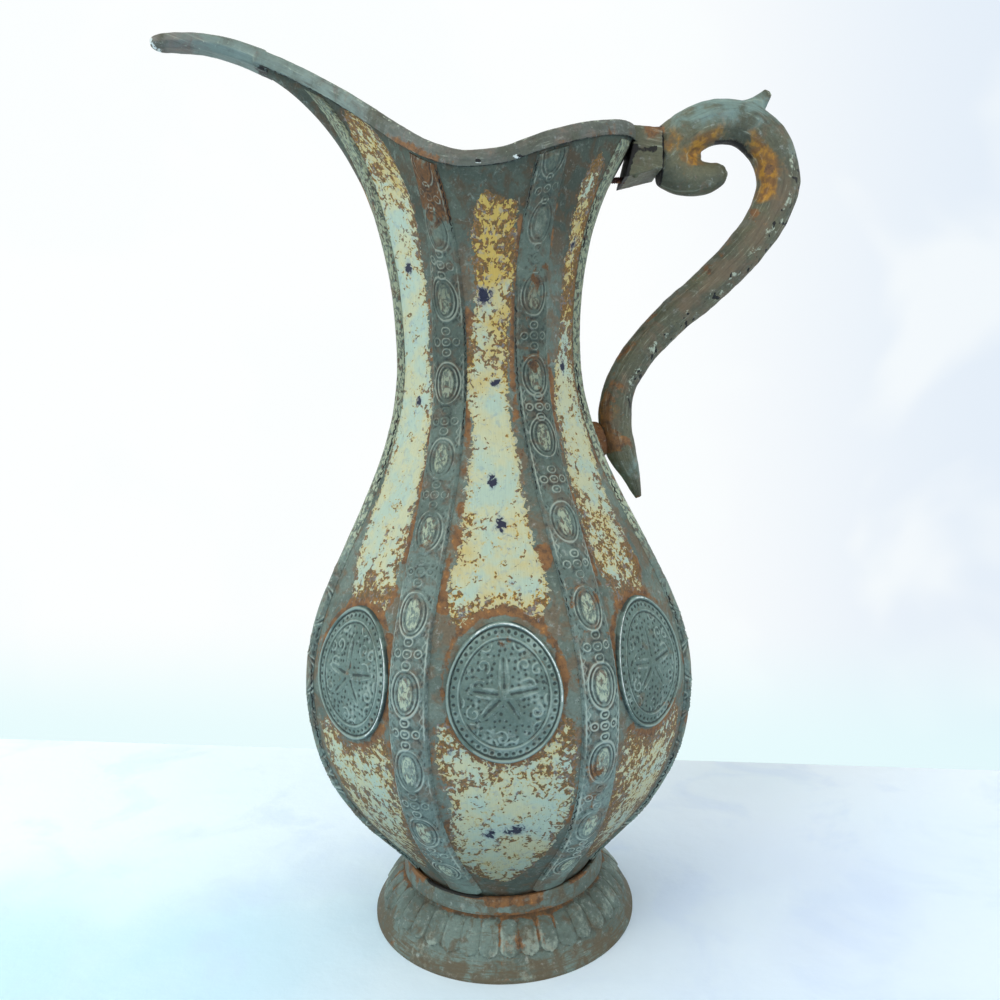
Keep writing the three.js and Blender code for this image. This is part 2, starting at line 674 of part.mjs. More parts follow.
// Screw from inside the neck, through the wall and across the gap into the shoe
function screwGeometry() {
  const shank = rodSolid(screwRadius, screwStart - 1, screwStart + screwLength, screwHeight, 16);
  const head = rodSolid(screwHeadRadius, screwStart - screwHeadLength, screwStart, screwHeight, 16);
  const slot = boxSolid(1.2, 2 * screwHeadRadius + 1, 1.2, screwStart - screwHeadLength, 0, screwHeight);
  return toGeometry(shank.add(head).subtract(slot));
}

// Solder boss between the handle's tail and the body, cut to both with the seat clearance
function bossGeometry() {
  const wall = skin(0, levelAtHeight(bossHeight)).x;
  const block = new THREE.SphereGeometry(1, 16, 10)
    .scale(bossReach, bossHalfWidth, bossLength / 2)
    .translate(wall, 0, bossHeight);
  const columns = panelColumns(0);
  const skinAt = (height) => columns.map((degrees) => bodyLevels.map((level) => offSkin(degrees, level, height)));
  const body = toSolid(shell(skinAt(seat), skinAt(-neckRadius / 2)));
  const grown = archStations.map(([x, z, size]) => [x, z, size + seat]);
  const bar = toSolid(barGeometry(grown, archSteps, 10));
  return toGeometry(toSolid(block).subtract(body).subtract(bar));
}

const materials = {
  patina: { color: 0x6f8079, roughness: 0.78, metalness: 0.25 },
  cream: { color: 0xc9cdb4, roughness: 0.72, metalness: 0.1 },
  trim: { color: 0x74786e, roughness: 0.7, metalness: 0.35 },
  rust: { color: 0x7a4a26, roughness: 0.9, metalness: 0.1 },
  casting: { color: 0x6b705f, roughness: 0.75, metalness: 0.3 },
};

const jug = new THREE.Group();
function add(name, geometry, finish) {
  const mesh = new THREE.Mesh(geometry, new THREE.MeshStandardMaterial(materials[finish]));
  mesh.name = name;
  geometry.computeVertexNormals();
  jug.add(mesh);
}

const sides = ["handle", "handle_back", "back", "spout_back", "spout", "spout_front", "front", "handle_front"];
sides.forEach((side, index) => {
  const centre = index * 45;
  const panel = panelGeometry(panelColumns(centre));
  add(`panel_${side}`, centre === 0 ? toGeometry(toSolid(panel).subtract(screwHole)) : panel, "cream");
  add(`medallion_${side}`, medallionGeometry(centre), "patina");
});
const seams = ["handle_back", "back_handle", "back_spout", "spout_back", "spout_front", "front_spout",
  "front_handle", "handle_front"];
seams.forEach((name, index) => {
  const main = Math.ceil(index / 2) * 90;
  add(`strip_${name}`, stripGeometry(main + (index % 2 === 0 ? mainHalfAngle : -mainHalfAngle)), "patina");
});
add("body_bottom", bottomGeometry(), "rust");
add("foot_collar", collarGeometry(), "patina");
add("foot_skirt", skirtGeometry(), "patina");
add("rim_trim", trimGeometry(), "trim");
add("handle", handleGeometry(), "casting");
add("handle_shoe", shoeGeometry(), "casting");
add("handle_screw", screwGeometry(), "rust");
add("handle_boss", bossGeometry(), "rust");

export default jug;
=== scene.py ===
"""Footed metal jug: painted sheet body with embossed cover strips, medallions, gutter spout and
scroll handle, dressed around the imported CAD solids. Sizes are in millimetres until a mesh is made."""

import itertools
import json
import logging
import math
from dataclasses import dataclass, field
from enum import Enum
from typing import Callable, Sequence

import bpy
import numpy as np
from mathutils import Matrix, Vector

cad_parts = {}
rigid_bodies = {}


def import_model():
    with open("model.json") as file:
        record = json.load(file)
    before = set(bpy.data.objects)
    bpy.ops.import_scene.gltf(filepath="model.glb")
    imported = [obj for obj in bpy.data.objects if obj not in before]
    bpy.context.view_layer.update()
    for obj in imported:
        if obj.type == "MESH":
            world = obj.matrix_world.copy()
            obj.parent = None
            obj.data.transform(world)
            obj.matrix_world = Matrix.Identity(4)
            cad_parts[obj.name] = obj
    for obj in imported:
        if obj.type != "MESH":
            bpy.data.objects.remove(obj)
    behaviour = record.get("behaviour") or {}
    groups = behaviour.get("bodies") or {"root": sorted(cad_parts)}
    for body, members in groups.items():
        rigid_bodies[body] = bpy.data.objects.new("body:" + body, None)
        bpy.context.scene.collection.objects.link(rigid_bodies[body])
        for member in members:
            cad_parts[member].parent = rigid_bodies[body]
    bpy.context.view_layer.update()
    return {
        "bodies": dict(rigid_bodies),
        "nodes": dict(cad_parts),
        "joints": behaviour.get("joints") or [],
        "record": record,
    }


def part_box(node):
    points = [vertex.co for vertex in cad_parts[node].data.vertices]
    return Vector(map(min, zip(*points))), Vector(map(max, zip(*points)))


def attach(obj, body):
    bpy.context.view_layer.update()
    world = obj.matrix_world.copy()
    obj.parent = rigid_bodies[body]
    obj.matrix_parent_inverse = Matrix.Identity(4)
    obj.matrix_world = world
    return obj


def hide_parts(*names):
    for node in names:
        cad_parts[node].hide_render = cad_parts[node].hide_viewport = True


logging.basicConfig(level=logging.INFO, format="%(message)s")
log = logging.getLogger("jug")

MM = 0.001
FLAT_SCALE = 0.01  # flat map units in a millimetre
MERGE = 2e-6  # metres
CHUNK = 5000  # points compared at a time
Array = np.ndarray
Colour = tuple[float, float, float, float]
Piece = bpy.types.Object
Material = bpy.types.Material
NodeTree = bpy.types.NodeTree
Node = bpy.types.Node
Socket = bpy.types.NodeSocket


def srgb(red: int, green: int, blue: int) -> Colour:
    """Turn a screen colour into Blender's linear one.

    Args:
        red, green, blue: the colour as it looks on screen, 0 to 255.

    Returns:
        The linear colour with an alpha of 1.
    """
    def linear(part: int) -> float:
        """Linear value of one channel."""
        share = part / 255
        return share / 12.92 if share <= 0.04045 else ((share + 0.055) / 1.055) ** 2.4
    return (linear(red), linear(green), linear(blue), 1.0)


def smooth(value: Array, low: float, high: float) -> Array:
    """Smooth step of an array from 0 at low to 1 at high."""
    share = np.clip((np.asarray(value, float) - low) / (high - low), 0, 1)
    return share * share * (3 - 2 * share)


def window(value: Array, start: float, full: float, last: float, end: float) -> Array:
    """Rise of an array from 0 at start to 1 at full, and fall from 1 at last to 0 at end."""
    return smooth(value, start, full) * (1 - smooth(value, last, end))


def ridge(distance: Array, width: float) -> Array:
    """Height of a soft ridge, 1 on its line, from the distance to that line."""
    return np.exp(-np.square(distance / width))


def unit(vectors: Array) -> Array:
    """Vectors of length 1."""
    return vectors / np.maximum(np.linalg.norm(vectors, axis=-1, keepdims=True), 1e-12)


def bezier(points: Sequence, share: Array) -> Array:
    """Points of a cubic Bezier curve.

    Args:
        points: its four control points, single or one set for each share.
        share: places along the curve, 0 to 1.

    Returns:
        One point for each share.
    """
    start, rise, fall, end = (np.asarray(point, float) for point in points)
    t = np.asarray(share, float)[..., None]
    s = 1 - t
    return s ** 3 * start + 3 * s * s * t * rise + 3 * s * t * t * fall + t ** 3 * end


def hermite(knots: Array, table: Array, spot: Array) -> Array:
    """Smooth curves through the columns of a table.

    Args:
        knots: growing places of the rows.
        table: one row for each knot.
        spot: where the curves are wanted.

    Returns:
        The numbers there, one array for each column.
    """
    slope = np.gradient(table, knots, axis=0)
    cell = np.clip(np.searchsorted(knots, spot, side="right") - 1, 0, len(knots) - 2)
    span = (knots[cell + 1] - knots[cell])[..., None]
    t = (spot - knots[cell])[..., None] / span
    found = ((2 * t ** 3 - 3 * t ** 2 + 1) * table[cell] + (t ** 3 - 2 * t ** 2 + t) * slope[cell] * span
             + (3 * t ** 2 - 2 * t ** 3) * table[cell + 1] + (t ** 3 - t ** 2) * slope[cell + 1] * span)
    return np.moveaxis(found, -1, 0)


def cloud(points: Array, size: float, seed: int) -> Array:
    """Smooth lattice noise, the same each run.

    Args:
        points: places in millimetres.
        size: of one lattice cell, in millimetres.
        seed: picks the pattern.

    Returns:
        Values from -1 to 1.
    """
    place = points / size
    cell = np.floor(place).astype(np.int64)
    part = place - cell
    part = part * part * (3 - 2 * part)
    total = np.zeros(points.shape[:-1])
    for corner in itertools.product((0, 1), repeat=3):
        at = cell + np.array(corner)
        key = (at[..., 0] * 73856093) ^ (at[..., 1] * 19349663) ^ (at[..., 2] * 83492791) ^ (seed * 2654435)
        key = (key ^ (key >> 13)) * 1540483477 & 0x7FFFFFFF
        key = (key ^ (key >> 15)) * 1103515245 & 0x7FFFFFFF
        value = key / 0x3FFFFFFF - 1
        weight = np.prod(np.where(corner, part, 1 - part), axis=-1)
        total = total + value * weight
    return total


def nearest(points: Array, line: Array) -> tuple[Array, Array]:
    """The nearest of a line's points to each point.

    Args:
        points: one row for each point.
        line: one row for each point of the line.

    Returns:
        Its number on the line, and the distance to it.
    """
    number, distance = np.empty(len(points), int), np.empty(len(points))
    for start in range(0, len(points), CHUNK):
        part = slice(start, start + CHUNK)
        gaps = np.linalg.norm(points[part, None] - line[None], axis=-1)
        number[part], distance[part] = gaps.argmin(axis=1), gaps.min(axis=1)
    return number, distance


def line_axes(line: Callable[[Array], Array], share: Array, step: float) -> tuple[Array, Array]:
    """Outward and up axes square to a line round the mouth.

    Args:
        line: gives points for shares from -1 to 1.
        share: places on the line.
        step: share over which its direction is read.

    Returns:
        The outward axes and the up axes.
    """
    along = unit(line(np.minimum(1, share + step)) - line(np.maximum(-1, share - step)))
    outward = -unit(np.cross((0.0, 0.0, 1.0), along))
    outward = np.where((share <= -1 + step)[..., None], (1.0, 0.0, 0.0), outward)
    up = unit(np.cross(outward, along))
    return outward, np.where(up[..., 2:] < 0, -up, up)


def turned(radius: Array, turn: Array, height: Array) -> Array:
    """Points round the axis, the grid's last column set on its first."""
    points = np.stack([radius * np.cos(turn), radius * np.sin(turn), height], axis=-1)
    points[:, -1] = points[:, 0]
    return points


def soften(values: Array, reach: int) -> Array:
    """Values of a grid, averaged over the neighbours within a reach."""
    for axis in (0, 1):
        values = np.mean([np.roll(values, step, axis) for step in range(-reach, reach + 1)], axis=0)
    return values


@dataclass(frozen=True)
class BodyForm:
    """The jug's skin as in the CAD model: seat to belly, neck and mouth, in millimetres."""

    seat_radius: float = 45.8
    seat_height: float = 28.5
    heel_sweep: float = 13
    heel_rise: float = 23
    belly_radius: float = 92.5
    belly_height: float = 129
    belly_drop: float = 57
    shoulder_rise: float = 50
    neck_radius: float = 43.7
    neck_height: float = 280
    neck_fall: float = 62
    main_half_angle: float = 24.5
    corner_rise: float = 0.028
    panel_flatness: float = 0.55
    keel_angle: float = 172
    keel_depth: float = 2.6
    keel_gap: float = 2.3
    edge_turn: float = 4.2
    edge_depth: float = 5.7
    throat_height: float = 421.6
    back_line: tuple = ((0, 58, 356), (34, 58, 371), (72, 27, 384), (72, 0, 384))
    spout_line: tuple = ((0, 58, 356), (-39, 58, 360.8), (-40.5, 6, 397), (-102, 6, 421.6))
    climb: tuple = (0.66, 0.45)
    reach: tuple = (0.85, 0.36)
    lift: tuple = (0.6, 0.69)

    def keel_share(self) -> float:
        """Share of the spout line at which the keel's sheet ends."""
        (near_x, _, near_z), (end_x, _, end_z) = self.spout_line[2:]
        slope = math.atan2(end_z - near_z, near_x - end_x)
        return 1 - (self.keel_gap + self.edge_depth * math.sin(slope)) / (3 * (near_x - end_x))

    def mouth_point(self, share: Array) -> Array:
        """Point of the mouth line: -1 at the handle, 0 at the side dip, 1 at the throat."""
        share = np.asarray(share, float)
        back = bezier(self.back_line, np.clip(-share, 0, 1))
        spout = bezier(self.spout_line, np.clip(share, 0, 1))
        return np.where((share <= 0)[..., None], back, spout)

    def mouth_share(self, near: Array) -> Array:
        """The mouth share that a direction reaches."""
        angles = (0, 90, 114.5, 124, 135, 155.5, 172)
        return np.interp(near, angles, (-1, 0, 0.27, 0.6, 0.7, 0.85, self.keel_share()))

    def lip(self, near: Array) -> tuple[Array, Array]:
        """The sheet's lip below the mouth line, and the up axis there."""
        share = self.mouth_share(np.minimum(near, self.keel_angle))
        _, up = line_axes(self.mouth_point, share, 0.004)
        lip = self.mouth_point(share) - up * self.edge_depth
        turn = np.clip((near - self.keel_angle) / (180 - self.keel_angle), 0, 1) * math.pi / 2
        lip[..., 1] *= np.cos(turn)
        lip[..., 2] -= self.keel_depth * np.sin(turn)
        return lip, up

    def lobe(self, angle: Array, level: Array) -> Array:
        """How far a direction stands out from the mean radius."""
        off_main = np.abs(angle - np.rint(angle / 90) * 90)
        is_main = off_main <= self.main_half_angle
        half = np.radians(np.where(is_main, self.main_half_angle, 45 - self.main_half_angle))
        off = np.radians(np.where(is_main, off_main, np.abs(off_main - 45)))
        sag = self.panel_flatness * (half * half - off * off) / 2
        return 1 + smooth(level, 0, 0.5) * (self.corner_rise - sag)

    def profile(self, level: Array) -> Array:
        """Radius and height of the body's turned profile, up to the neck."""
        belly, tall = self.belly_radius, self.belly_height
        low = ((self.seat_radius, self.seat_height),
               (self.seat_radius + self.heel_sweep, self.seat_height + self.heel_rise),
               (belly, tall - self.belly_drop), (belly, tall))
        high = ((belly, tall), (belly, tall + self.shoulder_rise),
                (self.neck_radius, self.neck_height - self.neck_fall), (self.neck_radius, self.neck_height))
        level = np.asarray(level, float)
        return np.where((level <= 1)[..., None], bezier(low, np.clip(level, 0, 1)),
                        bezier(high, np.clip(level - 1, 0, 1)))

    def skin(self, degrees: Array, level: Array) -> Array:
        """Points of the outer skin.

        Args:
            degrees: directions round the axis, 0 at the handle and 180 at the spout.
            level: 0 to 1 seat to belly, 1 to 2 belly to neck, 2 to 3 neck to lip, then the turned edge.

        Returns:
            Points in millimetres.
        """
        degrees, level = np.broadcast_arrays(np.asarray(degrees, float), np.asarray(level, float))
        angle = degrees % 360
        profile = self.profile(level)
        radius = profile[..., 0] * self.lobe(angle, level)
        turn = np.radians(angle)
        start = np.stack([radius * np.cos(turn), radius * np.sin(turn), profile[..., 1]], axis=-1)
        near = np.where(angle > 180, 360 - angle, angle)
        side = np.where(angle > 180, -1.0, 1.0)
        lip, up = self.lip(near)
        lip[..., 1] *= side
        up = up.copy()
        up[..., 1] *= side
        share = near / 180
        climb, reach, lift = (low + (high - low) * share for low, high in (self.climb, self.reach, self.lift))
        rise = start.copy()
        rise[..., 2] += climb * (lip[..., 2] - start[..., 2])
        flare = rise + np.stack([reach, reach, lift], axis=-1) * (lip - rise)
        neck = bezier((start, rise, flare, lip), np.clip(level - 2, 0, 1))
        edge = lip + up * ((level - 3) * self.edge_turn)[..., None]
        return np.where((level <= 2)[..., None], start, np.where((level > 3)[..., None], edge, neck))

    def normal(self, degrees: Array, level: Array) -> Array:
        """Outward normals of the skin."""
        high = np.minimum(np.where(level > 3, 4, 3), level + 0.01)
        across = self.skin(degrees + 0.05, level) - self.skin(degrees - 0.05, level)
        along = self.skin(degrees, high) - self.skin(degrees, high - 0.02)
        return unit(np.cross(across, along))

    def rise(self, degrees: float, top: float = 3) -> tuple[Array, Array]:
        """Levels, and the length up the skin to each, in one direction."""
        levels = np.linspace(0, top, 901)
        steps = np.linalg.norm(np.diff(self.skin(degrees, levels), axis=0), axis=-1)
        return levels, np.concatenate([[0], np.cumsum(steps)])

    def per_side(self, degrees: Array, level: Array, way: Array) -> Array:
        """Millimetres across the skin for each degree, on the side that way, 1 or -1, gives."""
        beside = self.skin(degrees + 0.5 * way, level)
        return np.linalg.norm(beside - self.skin(degrees, level), axis=-1) * 2

    def per_degree(self, degrees: Array, level: Array) -> Array:
        """Millimetres across the skin for each degree, averaged on both sides."""
        return (self.per_side(degrees, level, -1) + self.per_side(degrees, level, 1)) / 2

    def dent(self, points: Array) -> Array:
        """Small hammer waves of the hand-made sheet, shared by all that lies on it."""
        return 0.2 * cloud(points, 26, 3) + 0.1 * cloud(points, 9, 4)

    def off_skin(self, degrees: Array, level: Array, height: Array) -> Array:
        """Points at a height over the dented skin."""
        base = self.skin(degrees, level)
        lifted = np.asarray(height, float) + self.dent(base)
        return base + self.normal(degrees, level) * lifted[..., None]


FORM = BodyForm()


@dataclass
class Surface:
    """What a formula gives for a grid: points in millimetres, values for each, and a flat map."""

    points: Array
    values: dict[str, Array]
    flat: Array


def only(piece: Piece) -> None:
    """Make a piece the only one selected, and active."""
    bpy.ops.object.select_all(action="DESELECT")
    piece.select_set(True)
    bpy.context.view_layer.objects.active = piece


def named(name: str) -> Piece:
    """Name the piece that an operator has just made."""
    piece = bpy.context.object
    piece.name = name
    piece.data.name = name
    return piece


def write_values(piece: Piece, values: dict[str, Array]) -> None:
    """Store one number for each vertex under each name."""
    for name, numbers in values.items():
        layer = piece.data.attributes.get(name) or piece.data.attributes.new(name, "FLOAT", "POINT")
        layer.data.foreach_set("value", np.ascontiguousarray(numbers, np.float32).ravel())


def vertices(piece: Piece) -> Array:
    """The piece's vertices in millimetres."""
    found = np.empty(len(piece.data.vertices) * 3)
    piece.data.vertices.foreach_get("co", found)
    return found.reshape(-1, 3) / MM


def vertex_normals(piece: Piece) -> Array:
    """The piece's vertex normals."""
    found = np.empty(len(piece.data.vertices) * 3)
    piece.data.vertices.foreach_get("normal", found)
    return found.reshape(-1, 3)


def move_vertices(piece: Piece, points: Array) -> None:
    """Put the piece's vertices at points given in millimetres."""
    piece.data.vertices.foreach_set("co", (points * MM).ravel())
    piece.data.update()


def formed(name: str, columns: int, rows: int, place: Callable[[Array, Array], Surface]) -> Piece:
    """Bend a plain grid on to a formula, as pressed sheet is formed over a die.

    Args:
        name: of the piece.
        columns: of faces across.
        rows: of faces along.
        place: gives the surface for shares across and along.

    Returns:
        The piece, with its values and its flat map.
    """
    bpy.ops.object.select_all(action="DESELECT")
    bpy.ops.mesh.primitive_grid_add(x_subdivisions=columns, y_subdivisions=rows, size=1)
    piece = named(name)
    flat = vertices(piece) * MM + 0.5
    column = np.rint(flat[:, 0] * columns).astype(int)
    row = np.rint(flat[:, 1] * rows).astype(int)
    across, along = np.meshgrid(np.linspace(0, 1, columns + 1), np.linspace(0, 1, rows + 1))
    surface = place(across, along)
    move_vertices(piece, surface.points[row, column])
    write_values(piece, {key: value[row, column] for key, value in surface.values.items()})
    corner = np.empty(len(piece.data.loops), int)
    piece.data.loops.foreach_get("vertex_index", corner)
    flat_map = (surface.flat[row, column] * FLAT_SCALE)[corner]
    piece.data.uv_layers[0].data.foreach_set("uv", flat_map.ravel())
    return piece


def edit(piece: Piece, close_ends: bool = False, turn_out: bool = False) -> None:
    """Merge a formed tube's seam, and close its ends where asked.

    Args:
        piece: the piece.
        close_ends: fills the open ends.
        turn_out: recalculates the normals outward.
    """
    only(piece)
    bpy.ops.object.mode_set(mode="EDIT")
    bpy.ops.mesh.select_all(action="SELECT")
    bpy.ops.mesh.remove_doubles(threshold=MERGE)
    if close_ends:
        bpy.ops.mesh.select_all(action="SELECT")
        bpy.ops.mesh.fill_holes(sides=0)
    if turn_out:
        bpy.ops.mesh.select_all(action="SELECT")
        bpy.ops.mesh.normals_make_consistent(inside=False)
    bpy.ops.mesh.select_all(action="DESELECT")
    bpy.ops.object.mode_set(mode="OBJECT")


def shade(piece: Piece, degrees: float = 50) -> None:
    """Smooth shading, with edges sharper than an angle left crisp."""
    only(piece)
    bpy.ops.object.shade_smooth_by_angle(angle=math.radians(degrees))


def modify(piece: Piece, kind: str, **settings) -> None:
    """Add one modifier with its settings and apply it."""
    only(piece)
    bpy.ops.object.modifier_add(type=kind)
    modifier = piece.modifiers[-1]
    for key, value in settings.items():
        setattr(modifier, key, value)
    bpy.ops.object.modifier_apply(modifier=modifier.name)


def join(pieces: Sequence[Piece]) -> Piece:
    """Join pieces into the first one."""
    only(pieces[0])
    for piece in pieces:
        piece.select_set(True)
    bpy.ops.object.join()
    return pieces[0]


def blend_solid(piece: Piece, voxel: float, rounds: int) -> None:
    """Melt joined solids into one skin, as a casting or a soldered joint is.

    Args:
        piece: the joined solids.
        voxel: in millimetres.
        rounds: of smoothing after it.
    """
    modify(piece, "REMESH", mode="VOXEL", voxel_size=voxel * MM, use_smooth_shade=True)
    modify(piece, "SMOOTH", factor=0.5, iterations=rounds)


def finish_piece(piece: Piece, node: str, slot: str, *materials: Material) -> None:
    """Dress a piece, set it on the jug and let it stand for its CAD node."""
    piece.data.materials.clear()
    for material in materials:
        piece.data.materials.append(material)
    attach(piece, "root")
    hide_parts(node)
    log.info("%s: %d faces for %s", piece.name, len(piece.data.polygons), node)


class Tree:
    """Short hand for building one node tree."""

    def __init__(self, tree: NodeTree) -> None:
        """Start on a tree."""
        self.tree = tree

    def node(self, kind: str, inputs: dict | None = None, **settings) -> Node:
        """Add one node.

        Args:
            kind: its type without the ShaderNode prefix.
            inputs: values or sockets, by input name or number.
            settings: the node's own properties.

        Returns:
            The node.
        """
        made = self.tree.nodes.new("ShaderNode" + kind)
        for key, value in settings.items():
            setattr(made, key, value)
        for key, value in (inputs or {}).items():
            if isinstance(value, Socket):
                self.tree.links.new(value, made.inputs[key])
            else:
                made.inputs[key].default_value = value
        return made

    def math(self, operation: str, first, second, clamp: bool = False) -> Socket:
        """One step of arithmetic."""
        return self.node("Math", {0: first, 1: second}, operation=operation, use_clamp=clamp).outputs[0]

    def times(self, first, second) -> Socket:
        """Product of two values."""
        return self.math("MULTIPLY", first, second)

    def plus(self, first, second) -> Socket:
        """Sum of two values."""
        return self.math("ADD", first, second)

    def less(self, first, second) -> Socket:
        """First value less the second."""
        return self.math("SUBTRACT", first, second)

    def frayed(self, value, noise, reach: float) -> Socket:
        """A value whose borders are frayed by a noise round a half."""
        return self.plus(value, self.times(self.less(noise, 0.5), reach))

    def grey(self, value) -> Socket:
        """The grey of a value."""
        return self.node("CombineColor", {0: value, 1: value, 2: value}).outputs[0]

    def link(self, source: Socket, node: Node, name: str) -> None:
        """Lead a socket to a node's input."""
        self.tree.links.new(source, node.inputs[name])

    def place(self) -> Socket:
        """Place on the object."""
        return self.node("TexCoord").outputs["Object"]

    def flat(self) -> Socket:
        """Place on the piece's flat map."""
        return self.node("UVMap").outputs[0]

    def step(self, value, low: float, high: float) -> Socket:
        """Smooth step of a value from 0 at low to 1 at high."""
        made = self.node("MapRange", {"Value": value, "From Min": low, "From Max": high},
                         interpolation_type="SMOOTHSTEP")
        return made.outputs["Result"]

    def mix(self, factor, first, second, blend: str = "MIX") -> Socket:
        """Mix two colours."""
        made = self.node("Mix", {0: factor, 6: first, 7: second}, data_type="RGBA", blend_type=blend)
        return made.outputs[2]

    def over(self, colour, tone, value, low: float, high: float, cover: float = 1.0) -> Socket:
        """Lay a tone over a colour where a value passes from low to high.

        Args:
            colour, tone: the two colours.
            value: that decides.
            low, high: where the tone begins, and where it is full.
            cover: how much of the colour the full tone hides.

        Returns:
            The colour.
        """
        share = self.step(value, low, high)
        return self.mix(share if cover == 1 else self.times(share, cover), colour, tone)

    def noise(self, vector, scale: float, detail: float = 4, rough: float = 0.55,
              distort: float = 0) -> Socket:
        """Noise of a size, as a value round a half."""
        made = self.node("TexNoise", {"Vector": vector, "Scale": scale, "Detail": detail,
                                      "Roughness": rough, "Distortion": distort})
        return made.outputs["Fac"]

    def stretch(self, vector, scale: tuple, shift: tuple = (0, 0, 0)) -> Socket:
        """Stretch and shift coordinates."""
        return self.node("Mapping", {"Vector": vector, "Scale": scale, "Location": shift}).outputs[0]

    def value(self, name: str) -> Socket:
        """A number that the piece stores for each vertex."""
        return self.node("Attribute", attribute_name=name, attribute_type="GEOMETRY").outputs["Fac"]


class Kind(Enum):
    """Socket types of a node group."""

    NUMBER = "NodeSocketFloat"
    COLOUR = "NodeSocketColor"
    VECTOR = "NodeSocketVector"


def new_group(name: str, inputs: dict[str, Kind], outputs: dict[str, Kind]) -> tuple[Tree, dict, Node]:
    """Start a node group.

    Args:
        name: of the group.
        inputs: socket types by name.
        outputs: socket types by name.

    Returns:
        The tree, its input sockets by name, and its output node.
    """
    group = bpy.data.node_groups.new(name, "ShaderNodeTree")
    for key, kind in inputs.items():
        group.interface.new_socket(key, in_out="INPUT", socket_type=kind.value)
    for key, kind in outputs.items():
        group.interface.new_socket(key, in_out="OUTPUT", socket_type=kind.value)
    entry = group.nodes.new("NodeGroupInput")
    return Tree(group), {key: entry.outputs[key] for key in inputs}, group.nodes.new("NodeGroupOutput")


class Effects:
    """Node groups for what the jug's finishes have in common."""

    def __init__(self) -> None:
        """Build every group once."""
        self.patina = self.build_patina()
        self.worms = self.build_worms()
        self.rust = self.build_rust()
        self.wear = self.build_wear_and_light()

    def build_patina(self) -> NodeTree:
        """Clouded grey-green skin of old paint, in three colours."""
        tree, given, out = new_group(
            "clouded patina",
            {"Vector": Kind.VECTOR, "Light": Kind.COLOUR, "Dark": Kind.COLOUR, "Brown": Kind.COLOUR,
             "Brownness": Kind.NUMBER},
            {"Color": Kind.COLOUR, "Height": Kind.NUMBER})
        big = tree.noise(given["Vector"], 34, 5, 0.6, 0.3)
        mid = tree.noise(given["Vector"], 130, 5, 0.65, 0.6)
        fine = tree.noise(given["Vector"], 900, 3, 0.6)
        colour = tree.over(given["Light"], given["Dark"], big, 0.38, 0.62)
        brown = tree.plus(mid, tree.times(given["Brownness"], 0.3))
        colour = tree.over(colour, given["Brown"], brown, 0.56, 0.72, 0.85)
        shine = tree.step(tree.noise(given["Vector"], 320, 4, 0.7), 0.55, 0.8)
        pale = tree.mix(tree.times(shine, 0.35), colour, (0.62, 0.68, 0.63, 1))
        grain = tree.plus(tree.times(fine, 0.7), 0.63)
        grey = tree.grey(grain)
        tree.link(tree.mix(1.0, pale, grey, "MULTIPLY"), out, "Color")
        height = tree.plus(tree.times(mid, 0.7), tree.times(fine, 0.3))
        tree.link(height, out, "Height")
        return tree.tree

    def build_worms(self) -> NodeTree:
        """Worm-eaten chips in the cream paint, with the stain round them."""
        tree, given, out = new_group(
            "worm mottle", {"Vector": Kind.VECTOR, "Amount": Kind.NUMBER},
            {"Chips": Kind.NUMBER, "Stain": Kind.NUMBER, "Specks": Kind.NUMBER})
        coarse = tree.noise(given["Vector"], 2.3, 1.2, 0.45, 1.1)
        fine = tree.noise(given["Vector"], 6.4, 1.0, 0.5, 0.9)
        field_value = tree.plus(tree.times(coarse, 0.55), tree.times(fine, 0.45))
        limit = tree.less(0.665, tree.times(given["Amount"], 0.2))
        over = tree.less(field_value, limit)
        tree.link(tree.step(over, -0.014, 0.02), out, "Chips")
        tree.link(tree.step(over, -0.075, 0.0), out, "Stain")
        cells = tree.node("TexVoronoi", {"Vector": given["Vector"], "Scale": 5.4, "Randomness": 1.0})
        size = tree.times(tree.noise(given["Vector"], 1.3, 2), 0.34)
        specks = tree.less(tree.less(size, 0.08), cells.outputs["Distance"])
        tree.link(tree.step(specks, -0.02, 0.03), out, "Specks")
        return tree.tree

    def build_rust(self) -> NodeTree:
        """Rust that breaks through by an amount, from ochre to dark brown."""
        tree, given, out = new_group(
            "rust bloom", {"Vector": Kind.VECTOR, "Amount": Kind.NUMBER},
            {"Color": Kind.COLOUR, "Mask": Kind.NUMBER})
        rough = tree.noise(given["Vector"], 160, 6, 0.68, 0.4)
        tone = tree.noise(given["Vector"], 260, 5, 0.7)
        over = tree.plus(rough, tree.times(given["Amount"], 0.6))
        tree.link(tree.step(over, 0.74, 0.86), out, "Mask")
        colour = tree.over(srgb(84, 64, 46), srgb(128, 90, 54), tone, 0.35, 0.6)
        colour = tree.over(colour, srgb(172, 122, 64), tone, 0.6, 0.74)
        tree.link(colour, out, "Color")
        return tree.tree

    def build_wear_and_light(self) -> NodeTree:
        """Where relief is rubbed pale with a painted highlight on its tops, and where dirt and painted shade
        sit in its hollows.
        """
        tree, given, out = new_group(
            "relief wear and painted light", {"Vector": Kind.VECTOR, "Relief": Kind.NUMBER},
            {"RubbedAndHighlight": Kind.NUMBER, "GrimeAndShade": Kind.NUMBER})
        rough = tree.noise(given["Vector"], 420, 4, 0.65)
        broad = tree.noise(given["Vector"], 60, 3, 0.5)
        lifted = tree.frayed(given["Relief"], rough, 0.9)
        patchy = tree.frayed(lifted, broad, 1.4)
        # painted highlight: raised relief turns pale, together with its real rubbing
        tree.link(tree.step(patchy, 0.58, 0.95), out, "RubbedAndHighlight")
        # painted shade: hollows of the relief turn dark, together with their dirt
        tree.link(tree.step(lifted, 0.32, 0.02), out, "GrimeAndShade")
        return tree.tree


